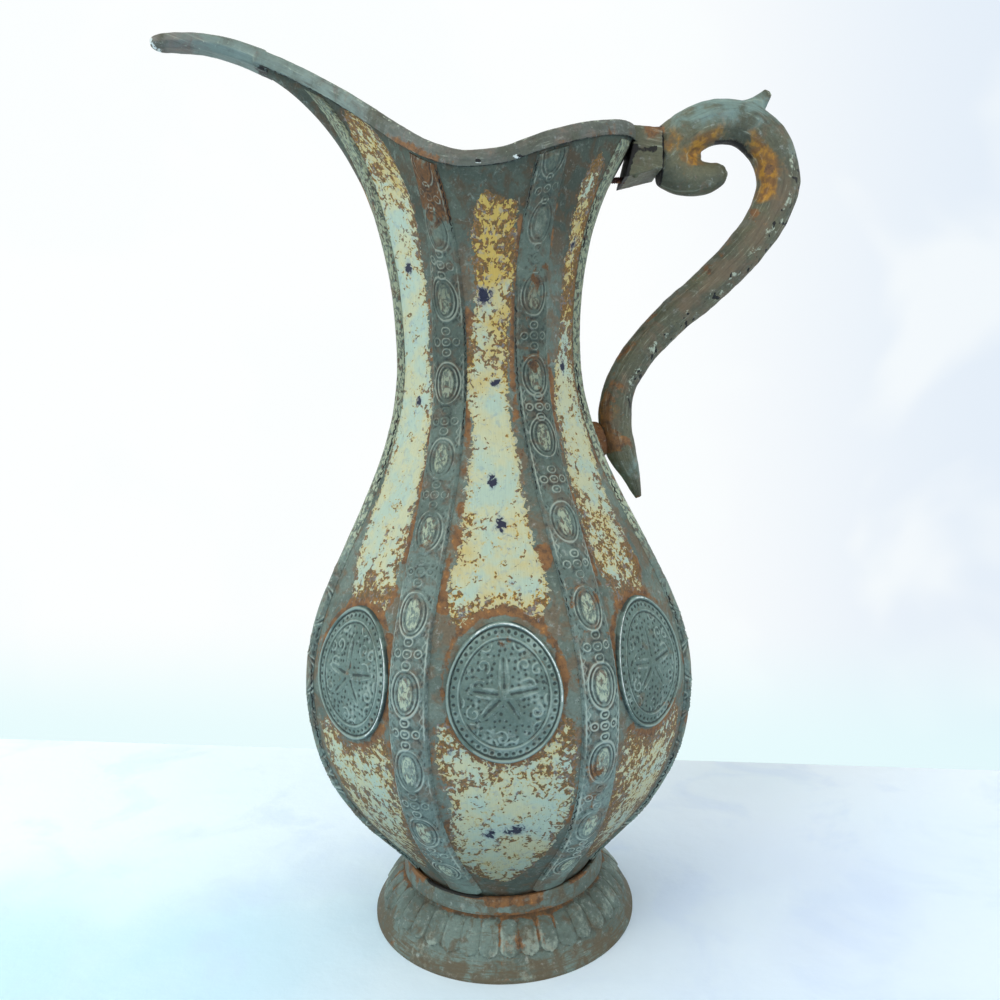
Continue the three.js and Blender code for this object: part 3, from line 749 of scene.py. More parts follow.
def new_material(name: str, roughness: float, metallic: float = 0.0,
                 specular: float = 0.35) -> tuple[Material, Tree, Node]:
    """Start a material.

    Args:
        name: of the material.
        roughness: plain value, replaced where a node is linked.
        metallic: plain value.
        specular: plain level.

    Returns:
        The material, its tree and its Principled BSDF.
    """
    material = bpy.data.materials.new(name)
    material.use_nodes = True
    shader = material.node_tree.nodes["Principled BSDF"]
    for key, value in (("Roughness", roughness), ("Metallic", metallic), ("Specular IOR Level", specular)):
        shader.inputs[key].default_value = value
    return material, Tree(material.node_tree), shader


class Finish:
    """Common base of the finishes."""

    def end(self, tree: Tree, shader: Node, colour, height, strength: float, depth: float,
            roughness=None) -> None:
        """Link colour, bump and roughness.

        Args:
            tree: of the material.
            shader: its Principled BSDF.
            colour: socket of the base colour.
            height: socket of the bump height.
            strength: of the bump.
            depth: of the bump, in millimetres.
            roughness: socket, or None to keep the plain value.
        """
        tree.link(colour, shader, "Base Color")
        bump = tree.node("Bump", {"Strength": strength, "Distance": depth * MM, "Height": height})
        tree.link(bump.outputs[0], shader, "Normal")
        if roughness is not None:
            tree.link(roughness, shader, "Roughness")

    def patina(self, tree: Tree, effects: Effects, vector, light, dark, brown, brownness) -> Node:
        """Place the clouded patina with this finish's own colours."""
        return self.place(tree, effects.patina, Vector=vector, Light=light, Dark=dark, Brown=brown,
                          Brownness=brownness)

    def rusted(self, tree: Tree, effects: Effects, place: Socket, colour) -> Socket:
        """The colour with rust breaking through by the piece's own amount."""
        rust = self.place(tree, effects.rust, Vector=place, Amount=tree.value("rust"))
        return tree.mix(rust.outputs["Mask"], colour, rust.outputs["Color"])

    def worn(self, tree: Tree, effects: Effects, place: Socket) -> tuple[Socket, Socket]:
        """Masks of the rubbed relief with its painted highlight, and of the dirt and painted shade in its
        hollows.
        """
        wear = self.place(tree, effects.wear, Vector=place, Relief=tree.value("relief"))
        return wear.outputs["RubbedAndHighlight"], wear.outputs["GrimeAndShade"]

    def place(self, tree: Tree, group: NodeTree, **inputs) -> Node:
        """Place a group with its inputs."""
        return tree.node("Group", inputs, node_tree=group)


@dataclass(frozen=True)
class PaintedSheet(Finish):
    """Cream and mint paint over grey-green patina, worm-eaten by rust."""

    mint: Colour = srgb(164, 181, 160)
    cream: Colour = srgb(181, 182, 145)
    yellow: Colour = srgb(184, 156, 76)
    ochre: Colour = srgb(132, 86, 40)
    brown: Colour = srgb(80, 60, 38)
    field_light: Colour = srgb(103, 116, 104)
    field_dark: Colour = srgb(82, 94, 84)
    field_brown: Colour = srgb(105, 90, 69)
    navy: Colour = srgb(26, 30, 50)

    def build(self, effects: Effects) -> Material:
        """Make the material from the panel's own values and flat map."""
        material, tree, shader = new_material("painted sheet", 0.62, 0.0)
        place = tree.place()
        flat = tree.flat()
        seed = tree.value("seed")
        shift = tree.node("CombineXYZ", {0: 0.0, 1: 0.0, 2: seed}).outputs[0]
        sheet = tree.stretch(flat, (10, 9.4, 1))
        sheet = tree.node("VectorMath", {0: sheet, 1: shift}, operation="ADD").outputs[0]
        streaks = tree.noise(tree.stretch(flat, (260, 14, 1)), 1.0, 4, 0.6)
        base = self.patina(tree, effects, place, self.field_light, self.field_dark, self.field_brown, 0.4)
        # painted shade: the field darkens towards the top, under the rim's overhang
        colour = tree.mix(tree.value("dim"), base.outputs["Color"], srgb(190, 186, 176), "MULTIPLY")
        scuff = tree.noise(place, 240, 5, 0.75, 0.6)
        colour = tree.over(colour, srgb(140, 152, 138), scuff, 0.55, 0.7, 0.45)
        colour = tree.over(colour, srgb(56, 62, 54), scuff, 0.42, 0.3, 0.5)
        colour = self.rusted(tree, effects, place, colour)
        border = tree.noise(sheet, 4.0, 4, 0.6, 0.8)
        fringe = tree.times(tree.less(border, 0.5), 1.9)
        inside = tree.plus(tree.value("cream"), fringe)
        mask = tree.step(inside, -0.02, 0.06)
        worms = self.place(tree, effects.worms, Vector=sheet, Amount=tree.value("mottle"))
        tint = tree.noise(sheet, 0.8, 3)
        warmth = tree.value("warmth")
        tint = tree.plus(tint, tree.times(warmth, 0.16))
        paint = tree.over(self.mint, self.cream, tint, 0.46, 0.66)
        near_edge = tree.step(inside, 0.55, 0.0)
        warm = tree.step(tree.noise(sheet, 1.1, 2), 0.38, 0.56)
        stain = tree.math("MAXIMUM", tree.times(worms.outputs["Stain"], warm),
                          tree.times(near_edge, 0.5))
        golden = tree.step(tree.plus(tint, warmth), 1.25, 1.8)
        shown = tree.times(stain, tree.plus(warmth, 0.25))
        stain = tree.math("MAXIMUM", shown, golden, clamp=True)
        paint = tree.mix(stain, paint, self.yellow)
        tone = tree.plus(tree.times(streaks, 0.5), 0.74)
        grey = tree.grey(tone)
        paint = tree.mix(0.85, paint, grey, "MULTIPLY")
        chip_tone = tree.noise(sheet, 9.0, 3, 0.6)
        chip = tree.over(self.brown, self.ochre, chip_tone, 0.42, 0.66)
        chipped = worms.outputs["Chips"]
        paint = tree.mix(tree.times(chipped, 0.9), paint, chip)
        specks = tree.times(worms.outputs["Specks"], 0.75)
        paint = tree.mix(specks, paint, srgb(92, 84, 64))
        ink = tree.frayed(tree.value("navy"), border, 2.6)
        paint = tree.over(paint, srgb(118, 138, 150), ink, 0.05, 0.45, 0.4)
        paint = tree.over(paint, self.navy, ink, 0.45, 0.75)
        colour = tree.mix(mask, colour, paint)
        # cracks and chips, with the painted shade beside the strips and the painted shadow round the
        # medallions, all darkened here
        crack = tree.frayed(tree.value("crack"), chip_tone, 2.4)
        colour = tree.over(colour, srgb(26, 28, 24), crack, 0.55, 0.8)
        # painted shade: the lower body, which faces down, is darkened
        colour = tree.mix(tree.value("low"), colour, (0.68, 0.68, 0.68, 1), "MULTIPLY")
        solid = tree.times(mask, tree.less(1.0, tree.times(chipped, 0.9)))
        height = tree.plus(tree.times(solid, 0.8),
                           tree.plus(tree.times(streaks, 0.12),
                                     tree.times(base.outputs["Height"], 0.45)))
        roughness = tree.less(0.78, tree.times(solid, 0.22))
        self.end(tree, shader, colour, height, 0.5, 0.25, roughness)
        return material


@dataclass(frozen=True)
class PressedMetal(Finish):
    """Grey-green patina on pressed ornament, rubbed pale and painted with highlight on top, grimy and painted
    with shade in its hollows.
    """

    name: str = "pressed strips"
    light: Colour = srgb(115, 133, 123)
    dark: Colour = srgb(92, 107, 98)
    brown: Colour = srgb(106, 96, 80)
    # pale of rubbed relief, which also paints the highlight on its tops
    rubbed: Colour = srgb(166, 177, 162)
    inlay: Colour = srgb(178, 188, 160)
    brownness: float = 0.3

    def build(self, effects: Effects) -> Material:
        """Make the material from the relief, rust, edge and inlay values."""
        material, tree, shader = new_material(self.name, 0.62, 0.15)
        place = tree.place()
        base = self.patina(tree, effects, place, self.light, self.dark, self.brown, self.brownness)
        colour = base.outputs["Color"]
        patch = tree.noise(place, 480, 4, 0.6, 0.5)
        streaks = tree.noise(tree.stretch(tree.flat(), (95, 38, 1)), 1.0, 3, 0.6, 0.6)
        filled = tree.times(tree.value("inlay"), tree.step(streaks, 0.44, 0.58))
        colour = tree.mix(tree.times(filled, 0.75), colour, self.inlay)
        stained = tree.times(tree.value("inlay"), tree.step(streaks, 0.42, 0.34))
        colour = tree.mix(tree.times(stained, 0.7), colour, srgb(112, 88, 68))
        colour = self.rusted(tree, effects, place, colour)
        rubbed, grime_and_shade = self.worn(tree, effects, place)
        # painted shade: hollows of the relief darkened, together with their dirt
        colour = tree.mix(tree.times(grime_and_shade, 0.8), colour, srgb(46, 53, 50))
        # painted highlight: raised relief made pale, together with its rubbed wear
        colour = tree.mix(tree.times(rubbed, 0.7), colour, self.rubbed)
        chips = tree.frayed(tree.value("crack"), patch, 2.2)
        colour = tree.over(colour, srgb(24, 27, 24), chips, 0.55, 0.8)
        # pale marks: the painted highlight on the medallions' rolled edges, and pale patches on one
        # medallion's raised ground
        bare = tree.frayed(tree.value("bare"), patch, 1.6)
        colour = tree.over(colour, srgb(214, 220, 212), bare, 0.55, 0.75)
        colour = tree.mix(tree.value("dim"), colour, srgb(208, 205, 197), "MULTIPLY")
        height = tree.plus(tree.times(base.outputs["Height"], 0.8),
                           tree.times(patch, 0.5))
        roughness = tree.less(0.74, tree.times(rubbed, 0.22))
        self.end(tree, shader, colour, height, 0.6, 0.22, roughness)
        return material


@dataclass(frozen=True)
class FootPaint(Finish):
    """Teal patina over brown, brushed round the foot, pale on the tongues."""

    name: str = "foot patina"
    light: Colour = srgb(107, 124, 116)
    dark: Colour = srgb(84, 96, 88)
    brown: Colour = srgb(92, 83, 65)
    pale: Colour = srgb(152, 166, 152)

    def build(self, effects: Effects) -> Material:
        """Make the material from the relief, rust and low-band values."""
        material, tree, shader = new_material(self.name, 0.6, 0.15)
        place = tree.place()
        flat = tree.flat()
        low = tree.value("low")
        streaks = tree.noise(tree.stretch(flat, (9, 110, 1)), 1.0, 6, 0.7, 0.5)
        brownness = tree.plus(0.2, tree.times(low, 0.4))
        base = self.patina(tree, effects, place, self.light, self.dark, self.brown, brownness)
        band = tree.plus(streaks, tree.times(low, 0.12))
        colour = tree.over(base.outputs["Color"], self.brown, band, 0.56, 0.7, 0.9)
        glint = tree.step(tree.noise(tree.stretch(flat, (40, 60, 1)), 1.0, 5, 0.7), 0.6, 0.7)
        colour = tree.mix(tree.times(glint, 0.45), colour, srgb(154, 154, 128))
        colour = self.rusted(tree, effects, place, colour)
        rubbed, grime_and_shade = self.worn(tree, effects, place)
        # painted shade: the grooves between the tongues darkened, together with their dirt
        colour = tree.mix(tree.times(grime_and_shade, 0.7), colour, srgb(58, 56, 44))
        # painted highlight: the tongue tops made pale, together with their rubbed wear and scratches
        colour = tree.mix(tree.times(rubbed, 0.55), colour, self.pale)
        crack = tree.frayed(tree.value("crack"), streaks, 1.2)
        colour = tree.over(colour, srgb(26, 26, 22), crack, 0.55, 0.8)
        height = tree.plus(tree.times(base.outputs["Height"], 0.9),
                           tree.times(streaks, 0.5))
        roughness = tree.less(0.72, tree.times(rubbed, 0.25))
        self.end(tree, shader, colour, height, 0.6, 0.3, roughness)
        return material


@dataclass(frozen=True)
class CastPaint(Finish):
    """Patina of the rim and the castings: teal where new, ochre and brown where rubbed."""

    name: str = "casting patina"
    teal: Colour = srgb(118, 142, 134)
    olive: Colour = srgb(96, 95, 72)
    brown: Colour = srgb(104, 90, 70)
    ochre: Colour = srgb(172, 122, 36)
    pale: Colour = srgb(176, 184, 160)
    tip: Colour = srgb(206, 212, 204)

    def build(self, effects: Effects) -> Material:
        """Make the material from the teal, ochre, brown and wear values."""
        material, tree, shader = new_material(self.name, 0.6, 0.2)
        place = tree.place()
        base = self.patina(tree, effects, place, self.olive, srgb(78, 80, 64), self.brown, 0.1)
        drift = tree.noise(place, 110, 5, 0.65, 0.6)
        swing = tree.times(tree.less(drift, 0.5), 2.3)
        colour = base.outputs["Color"]
        for key, tone, cover in (("teal", self.teal, 0.8), ("brown", self.brown, 0.85),
                                 ("ochre", self.ochre, 0.9)):
            share = tree.step(tree.plus(tree.value(key), swing), 0.22, 1.0)
            if key == "ochre":
                tone = tree.over(srgb(122, 84, 42), tone, tree.noise(place, 300, 3, 0.6), 0.4, 0.62)
            colour = tree.mix(tree.times(share, cover), colour, tone)
        colour = self.rusted(tree, effects, place, colour)
        fine = tree.noise(place, 380, 4, 0.7, 0.4)
        along = tree.node("CombineXYZ", {0: tree.value("lane"), 1: tree.value("run")}).outputs[0]
        lines = tree.noise(tree.stretch(along, (1.0, 0.09, 1)), 0.75, 5, 0.68, 0.3)
        tone = tree.plus(tree.times(fine, 0.5), tree.times(lines, 1.0))
        tone = tree.plus(tone, 0.25)
        grey = tree.grey(tone)
        colour = tree.mix(0.85, colour, grey, "MULTIPLY")
        colour = tree.over(colour, self.pale, lines, 0.58, 0.7, 0.4)
        colour = tree.over(colour, srgb(66, 56, 44), lines, 0.40, 0.30, 0.5)
        rough = tree.times(tree.less(fine, 0.5), 2.6)
        rubbed = tree.step(tree.plus(tree.value("wear"), rough), 0.55, 0.85)
        colour = tree.mix(tree.times(rubbed, 0.8), colour, self.pale)
        colour = tree.over(colour, self.tip, tree.plus(tree.value("bare"), rough), 0.6, 0.8)
        # cracks and chips, with the painted shade under the trim's edge, under the handle's crown and beside
        # the neck, all darkened here
        crack = tree.plus(tree.value("crack"), tree.times(rough, 0.5))
        colour = tree.over(colour, srgb(26, 24, 20), crack, 0.5, 0.75)
        height = tree.plus(tree.times(base.outputs["Height"], 0.6),
                           tree.plus(tree.times(fine, 0.5), tree.times(lines, 0.9)))
        self.end(tree, shader, colour, height, 0.8, 0.4)
        return material


@dataclass(frozen=True)
class BareRust(Finish):
    """Orange-brown rust of unpainted iron and solder, and of the jug's inside."""

    name: str = "bare rust"
    light: Colour = srgb(142, 94, 52)
    dark: Colour = srgb(90, 62, 40)
    grey: Colour = srgb(84, 82, 70)

    def build(self, effects: Effects) -> Material:
        """Make the material from object coordinates alone."""
        material, tree, shader = new_material(self.name, 0.85, 0.1)
        place = tree.place()
        base = self.patina(tree, effects, place, self.light, self.dark, self.grey, 0.2)
        tone = tree.noise(place, 520, 5, 0.7)
        colour = tree.over(base.outputs["Color"], srgb(196, 136, 66), tone, 0.55, 0.75)
        colour = tree.over(colour, srgb(52, 36, 26), tone, 0.42, 0.3)
        height = tree.plus(base.outputs["Height"], tone)
        self.end(tree, shader, colour, height, 0.8, 0.4)
        return material


@dataclass
class Finishes:
    """All the jug's materials, made once."""

    effects: Effects = field(default_factory=Effects)

    def __post_init__(self) -> None:
        """Build each finish."""
        self.panel = PaintedSheet().build(self.effects)
        self.strip = PressedMetal().build(self.effects)
        # the medallions' rubbed colour also paints the highlight on their relief
        self.medallion = PressedMetal(
            "pressed medallions", light=srgb(106, 126, 116), dark=srgb(90, 108, 98), brown=srgb(100, 98, 82),
            rubbed=srgb(144, 160, 148), brownness=0.08).build(self.effects)
        self.foot = FootPaint().build(self.effects)
        self.rim = CastPaint(name="rim patina", teal=srgb(120, 136, 126), olive=srgb(96, 100, 90),
                             brown=srgb(112, 102, 92)).build(self.effects)
        self.casting = CastPaint().build(self.effects)
        self.rust = BareRust().build(self.effects)
        self.screw = BareRust(name="screw rust", light=srgb(84, 44, 30), dark=srgb(44, 28, 22),
                              grey=srgb(56, 44, 36)).build(self.effects)
        self.inside = BareRust(name="jug inside", light=srgb(104, 92, 74), dark=srgb(64, 60, 50),
                               grey=srgb(84, 94, 84)).build(self.effects)


SIDES = ("handle", "handle_back", "back", "spout_back", "spout", "spout_front", "front", "handle_front")
SEAMS = {"handle_back": 24.5, "back_handle": 65.5, "back_spout": 114.5, "spout_back": 155.5,
         "spout_front": 204.5, "front_spout": 245.5, "front_handle": 294.5, "handle_front": 335.5}


@dataclass(frozen=True)
class StripShape:
    """Outline of the cover strips: how wide they are and where they end."""

    neck_width: float = 17
    belly_width: float = 18
    reach_share: float = 0.56
    tip_half: float = 0.6
    clearance: float = 1.6
    foot_clear: float = 2.9
    outer_share: float = 0.4

    def lip_line(self) -> Array:
        """Points of the sheet's lip on both sides."""
        near = np.linspace(0, 180, 361)
        lip = FORM.lip(near)[0]
        return np.concatenate([lip, lip * (1, -1, 1)])

    def to_lip(self, points: Array) -> Array:
        """Distance from each point to the lip."""
        return nearest(points.reshape(-1, 3), self.lip_line())[1].reshape(points.shape[:-1])

    def half_width(self, seam: float, levels: Array, way: int) -> Array:
        """Half width in millimetres on one side of the seam, at each level.

        Args:
            seam: its direction in degrees.
            levels: places up the seam.
            way: 1 for growing degrees, -1 for falling.

        Returns:
            Half widths.
        """
        radius = FORM.profile(np.minimum(levels, 2))[..., 0]
        share = np.clip((radius - FORM.neck_radius) / (FORM.belly_radius - FORM.neck_radius), 0, 1)
        middle = 45 * (math.ceil(seam / 45) if way > 0 else math.floor(seam / 45))
        away = FORM.skin(middle, levels) - FORM.skin(seam, levels)
        reach = self.reach_share * np.linalg.norm(away, axis=-1)
        widest = np.minimum((self.neck_width + share * (self.belly_width - self.neck_width)) / 2, reach)
        if middle % 90 == 45 and abs(math.cos(math.radians(seam))) > 0.8:
            widest = widest * self.outer_share
        low, high = np.full(levels.shape, self.tip_half), widest
        per = FORM.per_side(seam, levels, way)
        clear = self.to_lip(FORM.skin(seam + way * high / per, levels)) > self.clearance
        for _ in range(12):
            middle_try = (low + high) / 2
            passes = self.to_lip(FORM.skin(seam + way * middle_try / per, levels)) > self.clearance
            low, high = np.where(passes, middle_try, low), np.where(passes, high, middle_try)
        return np.where(clear, widest, low)

    def ends(self, seam: float) -> tuple[float, float]:
        """Lowest and highest level of the strip over a seam."""
        levels = np.linspace(2, 3, 400)
        clear = self.to_lip(FORM.skin(seam, levels)) > self.clearance + self.tip_half
        top = levels[np.nonzero(clear)[0][-1]]
        low = np.linspace(0, 1, 2000)
        bottom = low[np.nonzero(FORM.profile(low)[..., 1] > FORM.seat_height + self.foot_clear)[0][0]]
        return float(bottom), float(top)


STRIP = StripShape()


@dataclass(frozen=True)
class Paint:
    """Where a panel's cream paint has survived, along the panel's middle line.

    Each station is the length up from the seat, the paint's left and right edges from the
    middle, both in millimetres, and how worm-eaten the paint is there. Warmth goes by length too.
    """

    stations: tuple
    navy: tuple = ()
    rust: tuple = ()
    warmth: tuple = ((0, 0.5), (110, 0.6), (200, 0.5), (300, 0.9), (330, 1.4))


@dataclass
class Panels:
    """The eight painted gores."""

    columns: int = 44
    rows: int = 240
    sheet: float = 0.9
    seam_gap: float = 0.15
    halo: float = 2.2
    disc_half: tuple = (23, 29.5)
    disc_height: float = 142.5
    plans: dict[str, Paint] = field(default_factory=dict)

    def centre(self, side: str) -> float:
        """Direction of a side's middle."""
        return SIDES.index(side) * 45.0

    def spans(self, side: str) -> tuple[float, float]:
        """Directions of the two seams of a side."""
        middle = self.centre(side)
        half = FORM.main_half_angle if middle % 90 == 0 else 45 - FORM.main_half_angle
        return middle - half, middle + half

    def surface(self, side: str) -> Callable[[Array, Array], Surface]:
        """The formula of one panel's outer face."""
        start, end = self.spans(side)
        middle = (start + end) / 2
        top = 3.0 if side == "spout" else 3.93
        levels, lengths = FORM.rise(middle, top)

        def place(across: Array, along: Array) -> Surface:
            """Points, paint values and flat map of the panel."""
            level = np.interp(along * lengths[-1], lengths, levels)
            inset = self.seam_gap / FORM.per_degree(np.array([start, end]), level[:, :1])
            degrees = start + inset[:, :1] + across * ((end - start) - inset.sum(axis=1, keepdims=True))
            points = FORM.off_skin(degrees, level, 0)
            steps = np.linalg.norm(np.diff(points, axis=1), axis=-1)
            width = np.concatenate([np.zeros((len(points), 1)), np.cumsum(steps, axis=1)], axis=1)
            from_middle = width - width[:, -1:] / 2
            arc = along * lengths[-1]
            values = self.paint_values(side, points, from_middle, width, arc, level[:, 0], (start, end))
            return Surface(points, values, np.stack([from_middle, arc], axis=-1))
        return place

    def paint_values(self, side: str, points: Array, from_middle: Array, width: Array, arc: Array,
                     levels: Array, seams: tuple[float, float]) -> dict[str, Array]:
        """Values that the paint reads at each vertex of a panel.

        Args:
            side: the panel's name.
            points: its vertices.
            from_middle: distance across from its middle line.
            width: distance across from its first seam.
            arc: length up from the seat.
            levels: one for each row.
            seams: directions of its two seams.

        Returns:
            Values by name.
        """
        plan = self.plans[side]
        stations = np.array(plan.stations, float)
        here = [np.interp(arc, stations[:, 0], stations[:, column]) for column in (1, 2, 3)]
        sway = 1.2 * cloud(points, 14, 11 + SIDES.index(side))
        cream = np.minimum(from_middle - here[0], here[1] - from_middle) + sway
        first = STRIP.half_width(seams[0], levels, 1)[:, None]
        second = STRIP.half_width(seams[1], levels, -1)[:, None]
        strip_gap = np.minimum(width - first, width[:, -1:] - width - second)
        levels_mid, lengths_mid = FORM.rise(self.centre(side))
        rising = FORM.profile(np.minimum(levels_mid, 2))[:600, 1]
        disc_arc = np.interp(self.disc_height, rising, lengths_mid[:600])
        disc = np.hypot(from_middle / self.disc_half[0], (arc - disc_arc) / self.disc_half[1])
        disc_gap = (disc - 1) * 25
        cream = np.minimum(cream, np.minimum(disc_gap - self.halo, 60))
        rust = 0.42 * ridge(strip_gap - 0.6, 1.8) + 0.85 * ridge(disc_gap - 1.4, 2.4)
        rust = rust * (0.7 + 0.7 * cloud(points, 30, 21)) + 0.35 * ridge(cream + 1.0, 1.8)
        for at, off, size in plan.rust:
            rust = rust + smooth(size - np.hypot(arc - at, (from_middle - off) * 1.2), -2.5, 2.5)
        navy = np.zeros_like(arc)
        for at, off, tall, wide in plan.navy:
            navy = np.maximum(navy, 1.25 - np.hypot((arc - at) / tall, (from_middle - off) / wide))
        # paint chips and painted shade: a broken dark line just beside each strip's edge
        crack = 0.42 * ridge(strip_gap - 0.1, 0.45) * smooth(cloud(points, 24, 23), -0.2, 0.3)
        # painted shadow: a dark line on the panel just outside each medallion's edge
        crack = crack + 0.4 * ridge(disc_gap - 0.2, 0.6)
        # painted shade under the rim: how far the field is darkened near the top
        dim = smooth(points[..., 2], 290, 345)
        mottle = here[2] + 0.3 * cloud(points, 17, 5) + 0.42 * ridge(cream, 4.5)
        return {"cream": np.clip(cream / 5, -2, 2), "mottle": mottle,
                "rust": np.clip(rust, 0, 1.2), "navy": np.clip(navy, 0, 1.2), "crack": crack, "dim": dim,
                "warmth": np.interp(arc, *np.array(plan.warmth, float).T),
                # painted shade on the lower body, which faces down
                "low": 1 - smooth(points[..., 2], 44, 112),
                "seed": np.full_like(arc, 3.7 * SIDES.index(side))}

    def build(self, finishes: Finishes) -> None:
        """Model and dress all eight."""
        for side in SIDES:
            piece = formed(f"gore_{side}", self.columns, self.rows, self.surface(side))
            modify(piece, "SOLIDIFY", thickness=self.sheet * MM, offset=-1, material_offset=1,
                   material_offset_rim=1, use_even_offset=False)
            shade(piece, 40)
            finish_piece(piece, f"panel_{side}", "painted_panels", finishes.panel, finishes.inside)
            is_inside = np.arange(len(piece.data.polygons)) >= self.columns * self.rows
            piece.data.polygons.foreach_set("material_index", is_inside.astype(np.int32))


@dataclass
class CoverStrips:
    """The eight embossed strips over the seams."""

    columns: int = 56
    rows: int = 960
    seat: float = 0.5
    sheet: float = 0.7
    dome: float = 0.45
    oval_half: tuple = (6.0, 9.1)
    ovals: tuple = (29.5, 62.4, 95.0, 126.6, 157.7, 193.1, 226.3, 260.3, 296.6, 326.1, 353.6)
    ovals_right: tuple = (29.5, 62.4, 95.1, 126.8, 157.8, 195.5, 234.7, 262.5, 298.2, 328.5, 355.9)
    rosette_step: tuple = (4.2, 4.6)
    wave: float = 3.6
    painted_over: tuple = ("handle_back", "spout_back", "spout_front", "handle_front")

    def relief(self, off: Array, arc: Array, edge: Array, ovals: Array) -> tuple[Array, Array]:
        """Height of the ornament, and where its painted inlays are.

        Args:
            off: distance across from the seam.
            arc: length up from the seat.
            edge: distance in from the strip's edge.
            ovals: arc lengths of this strip's oval centres.

        Returns:
            Heights in millimetres, and the inlay mask.
        """
        centre = ovals[np.abs(arc[..., None] - ovals).argmin(axis=-1)]
        ring = np.hypot(off / self.oval_half[0], (arc - centre) / self.oval_half[1])
        inner = np.hypot(off / 4.4, (arc - centre) / 7.7)
        height = 0.46 * ridge(ring - 1, 0.07) + 0.36 * ridge(inner - 1, 0.075)
        cushion = 1 - smooth(np.hypot(off / 2.9, (arc - centre) / 6.6), 0.82, 1.06)
        height = height + 0.2 * cushion - 0.14 * ridge(ring - 0.88, 0.04)
        middles = (ovals[:-1] + ovals[1:]) / 2
        middle = middles[np.abs(arc[..., None] - middles).argmin(axis=-1)]
        step_x, step_y = self.rosette_step
        for across, along in ((0, 0), (step_x, 0), (-step_x, 0), (0, step_y), (0, -step_y)):
            radius = np.hypot(off - across, arc - middle - along)
            height = height + 0.46 * ridge(radius - 1.55, 0.33) + 0.5 * ridge(radius, 0.45)
        wavy = 2.7 + 0.45 * np.sin(2 * math.pi * arc / self.wave)
        border = 0.34 * ridge(edge - 1.5, 0.4) + 0.26 * ridge(edge - wavy, 0.34)
        return height + border * smooth(ring, 1.02, 1.14), cushion

    def surface(self, name: str) -> Callable[[Array, Array], Surface]:
        """The formula of one strip, round its whole section."""
        seam = SEAMS[name]
        bottom, top = STRIP.ends(seam)
        levels, lengths = FORM.rise(seam)
        low, high = np.interp((bottom, top), levels, lengths)
        shift = 0.0 if name in ("front_spout", "front_handle") else 5.0 * math.sin(7 * seam)
        ovals = np.array(self.ovals_right if name == "front_handle" else self.ovals) + shift
        top_columns = self.columns - 4

        def place(across: Array, along: Array) -> Surface:
            """Points, wear values and flat map of the strip."""
            arc = low + along * (high - low)
            level = np.interp(arc, lengths, levels)
            row_level = level[:, 0]
            left = STRIP.half_width(seam, row_level, -1)[:, None]
            right = STRIP.half_width(seam, row_level, 1)[:, None]
            scallop = 0.3 * np.abs(np.sin(math.pi * arc / self.wave)) - 0.15
            column = np.rint(across * self.columns)
            on_top = column <= top_columns
            under = np.array([1.0, 0.0, -1.0, -1.0])
            share = np.where(on_top, -1 + 2 * column / top_columns,
                             under[np.clip(column - top_columns - 1, 0, 3).astype(int)])
            half = np.where(share < 0, left, right)
            off = share * (half + scallop * (half > 6))
            edge = (1 - np.abs(share)) * half
            height, inlay = self.relief(off, arc, edge, ovals)
            point = FORM.skin(seam, level)
            worn = 0.85 + 0.3 * cloud(point + (off * 0.7)[..., None], 18, 31)
            fade = smooth(arc, low, low + 18)
            if name in self.painted_over:
                height = height * (1 - 0.75 * smooth(arc, 150, 190))
            else:
                height = height * (1 - 0.35 * smooth(arc, 290, 315))
            height = height * worn * fade
            rolled = 0.2 + (self.seat + self.sheet - 0.2) * smooth(edge, -0.3, 1.7)
            tucked = 1 - 0.6 * smooth(arc, high - 2.6, high)
            lift = (rolled + self.dome * (1 - share ** 2) + height) * tucked
            first = column == self.columns
            lift = np.where(on_top | first, lift, 0.05)
            per = FORM.per_side(seam, level, np.where(off < 0, -1, 1))
            points = FORM.off_skin(seam + off / per, level, lift)
            points[:, -1] = points[:, 0]
            return Surface(points, self.wear_values(name, points, off, arc, edge, height, inlay),
                           np.stack([off, arc], axis=-1))
        return place

    def wear_values(self, name: str, points: Array, off: Array, arc: Array, edge: Array, height: Array,
                    inlay: Array) -> dict[str, Array]:
        """Values that the strip's finish reads at each vertex."""
        seed = 40 + list(SEAMS).index(name)
        rust = 0.06 + 0.4 * cloud(points, 18, seed) + 0.2 * cloud(points, 5, seed + 8)
        if name == "front_spout":
            rust = rust + 0.6 * smooth(arc, 324, 336)
        places = smooth(cloud(points, 26, seed + 5), 0.05, 0.35)
        for strip, side, low, high in (("front_spout", 1, 268, 292), ("front_handle", -1, 232, 292),
                                       ("front_handle", 1, 60, 122), ("front_spout", -1, 150, 182)):
            if strip == name:
                places = np.maximum(places, window(arc, low - 6, low, high, high + 6) * (off * side > 0))
        crinkle = edge - 0.35 - 0.4 * np.abs(np.sin(math.pi * arc / 3.5 + 2 * cloud(points, 11, seed + 6)))
        crack = 0.95 * ridge(crinkle, 0.33) * places
        cavity = 0.4 + 2.3 * (height - soften(height, 5))
        if name in self.painted_over:
            inlay = np.maximum(0.3 * inlay, 1.7 * window(arc, 165, 200, 385, 410))
        else:
            inlay = inlay * (1 - 0.75 * smooth(arc, 285, 310))
        return {"relief": np.clip(cavity, -0.2, 1.2), "inlay": inlay, "dim": smooth(points[..., 2], 150, 290),
                "rust": np.clip(rust, 0, 1.1), "crack": np.clip(crack, 0, 1)}

    def build(self, finishes: Finishes) -> None:
        """Model and dress all eight."""
        for name in SEAMS:
            piece = formed(f"cover_{name}", self.columns, self.rows, self.surface(name))
            edit(piece, close_ends=True)
            shade(piece, 60)
            finish_piece(piece, f"strip_{name}", "pressed_ornament", finishes.strip)


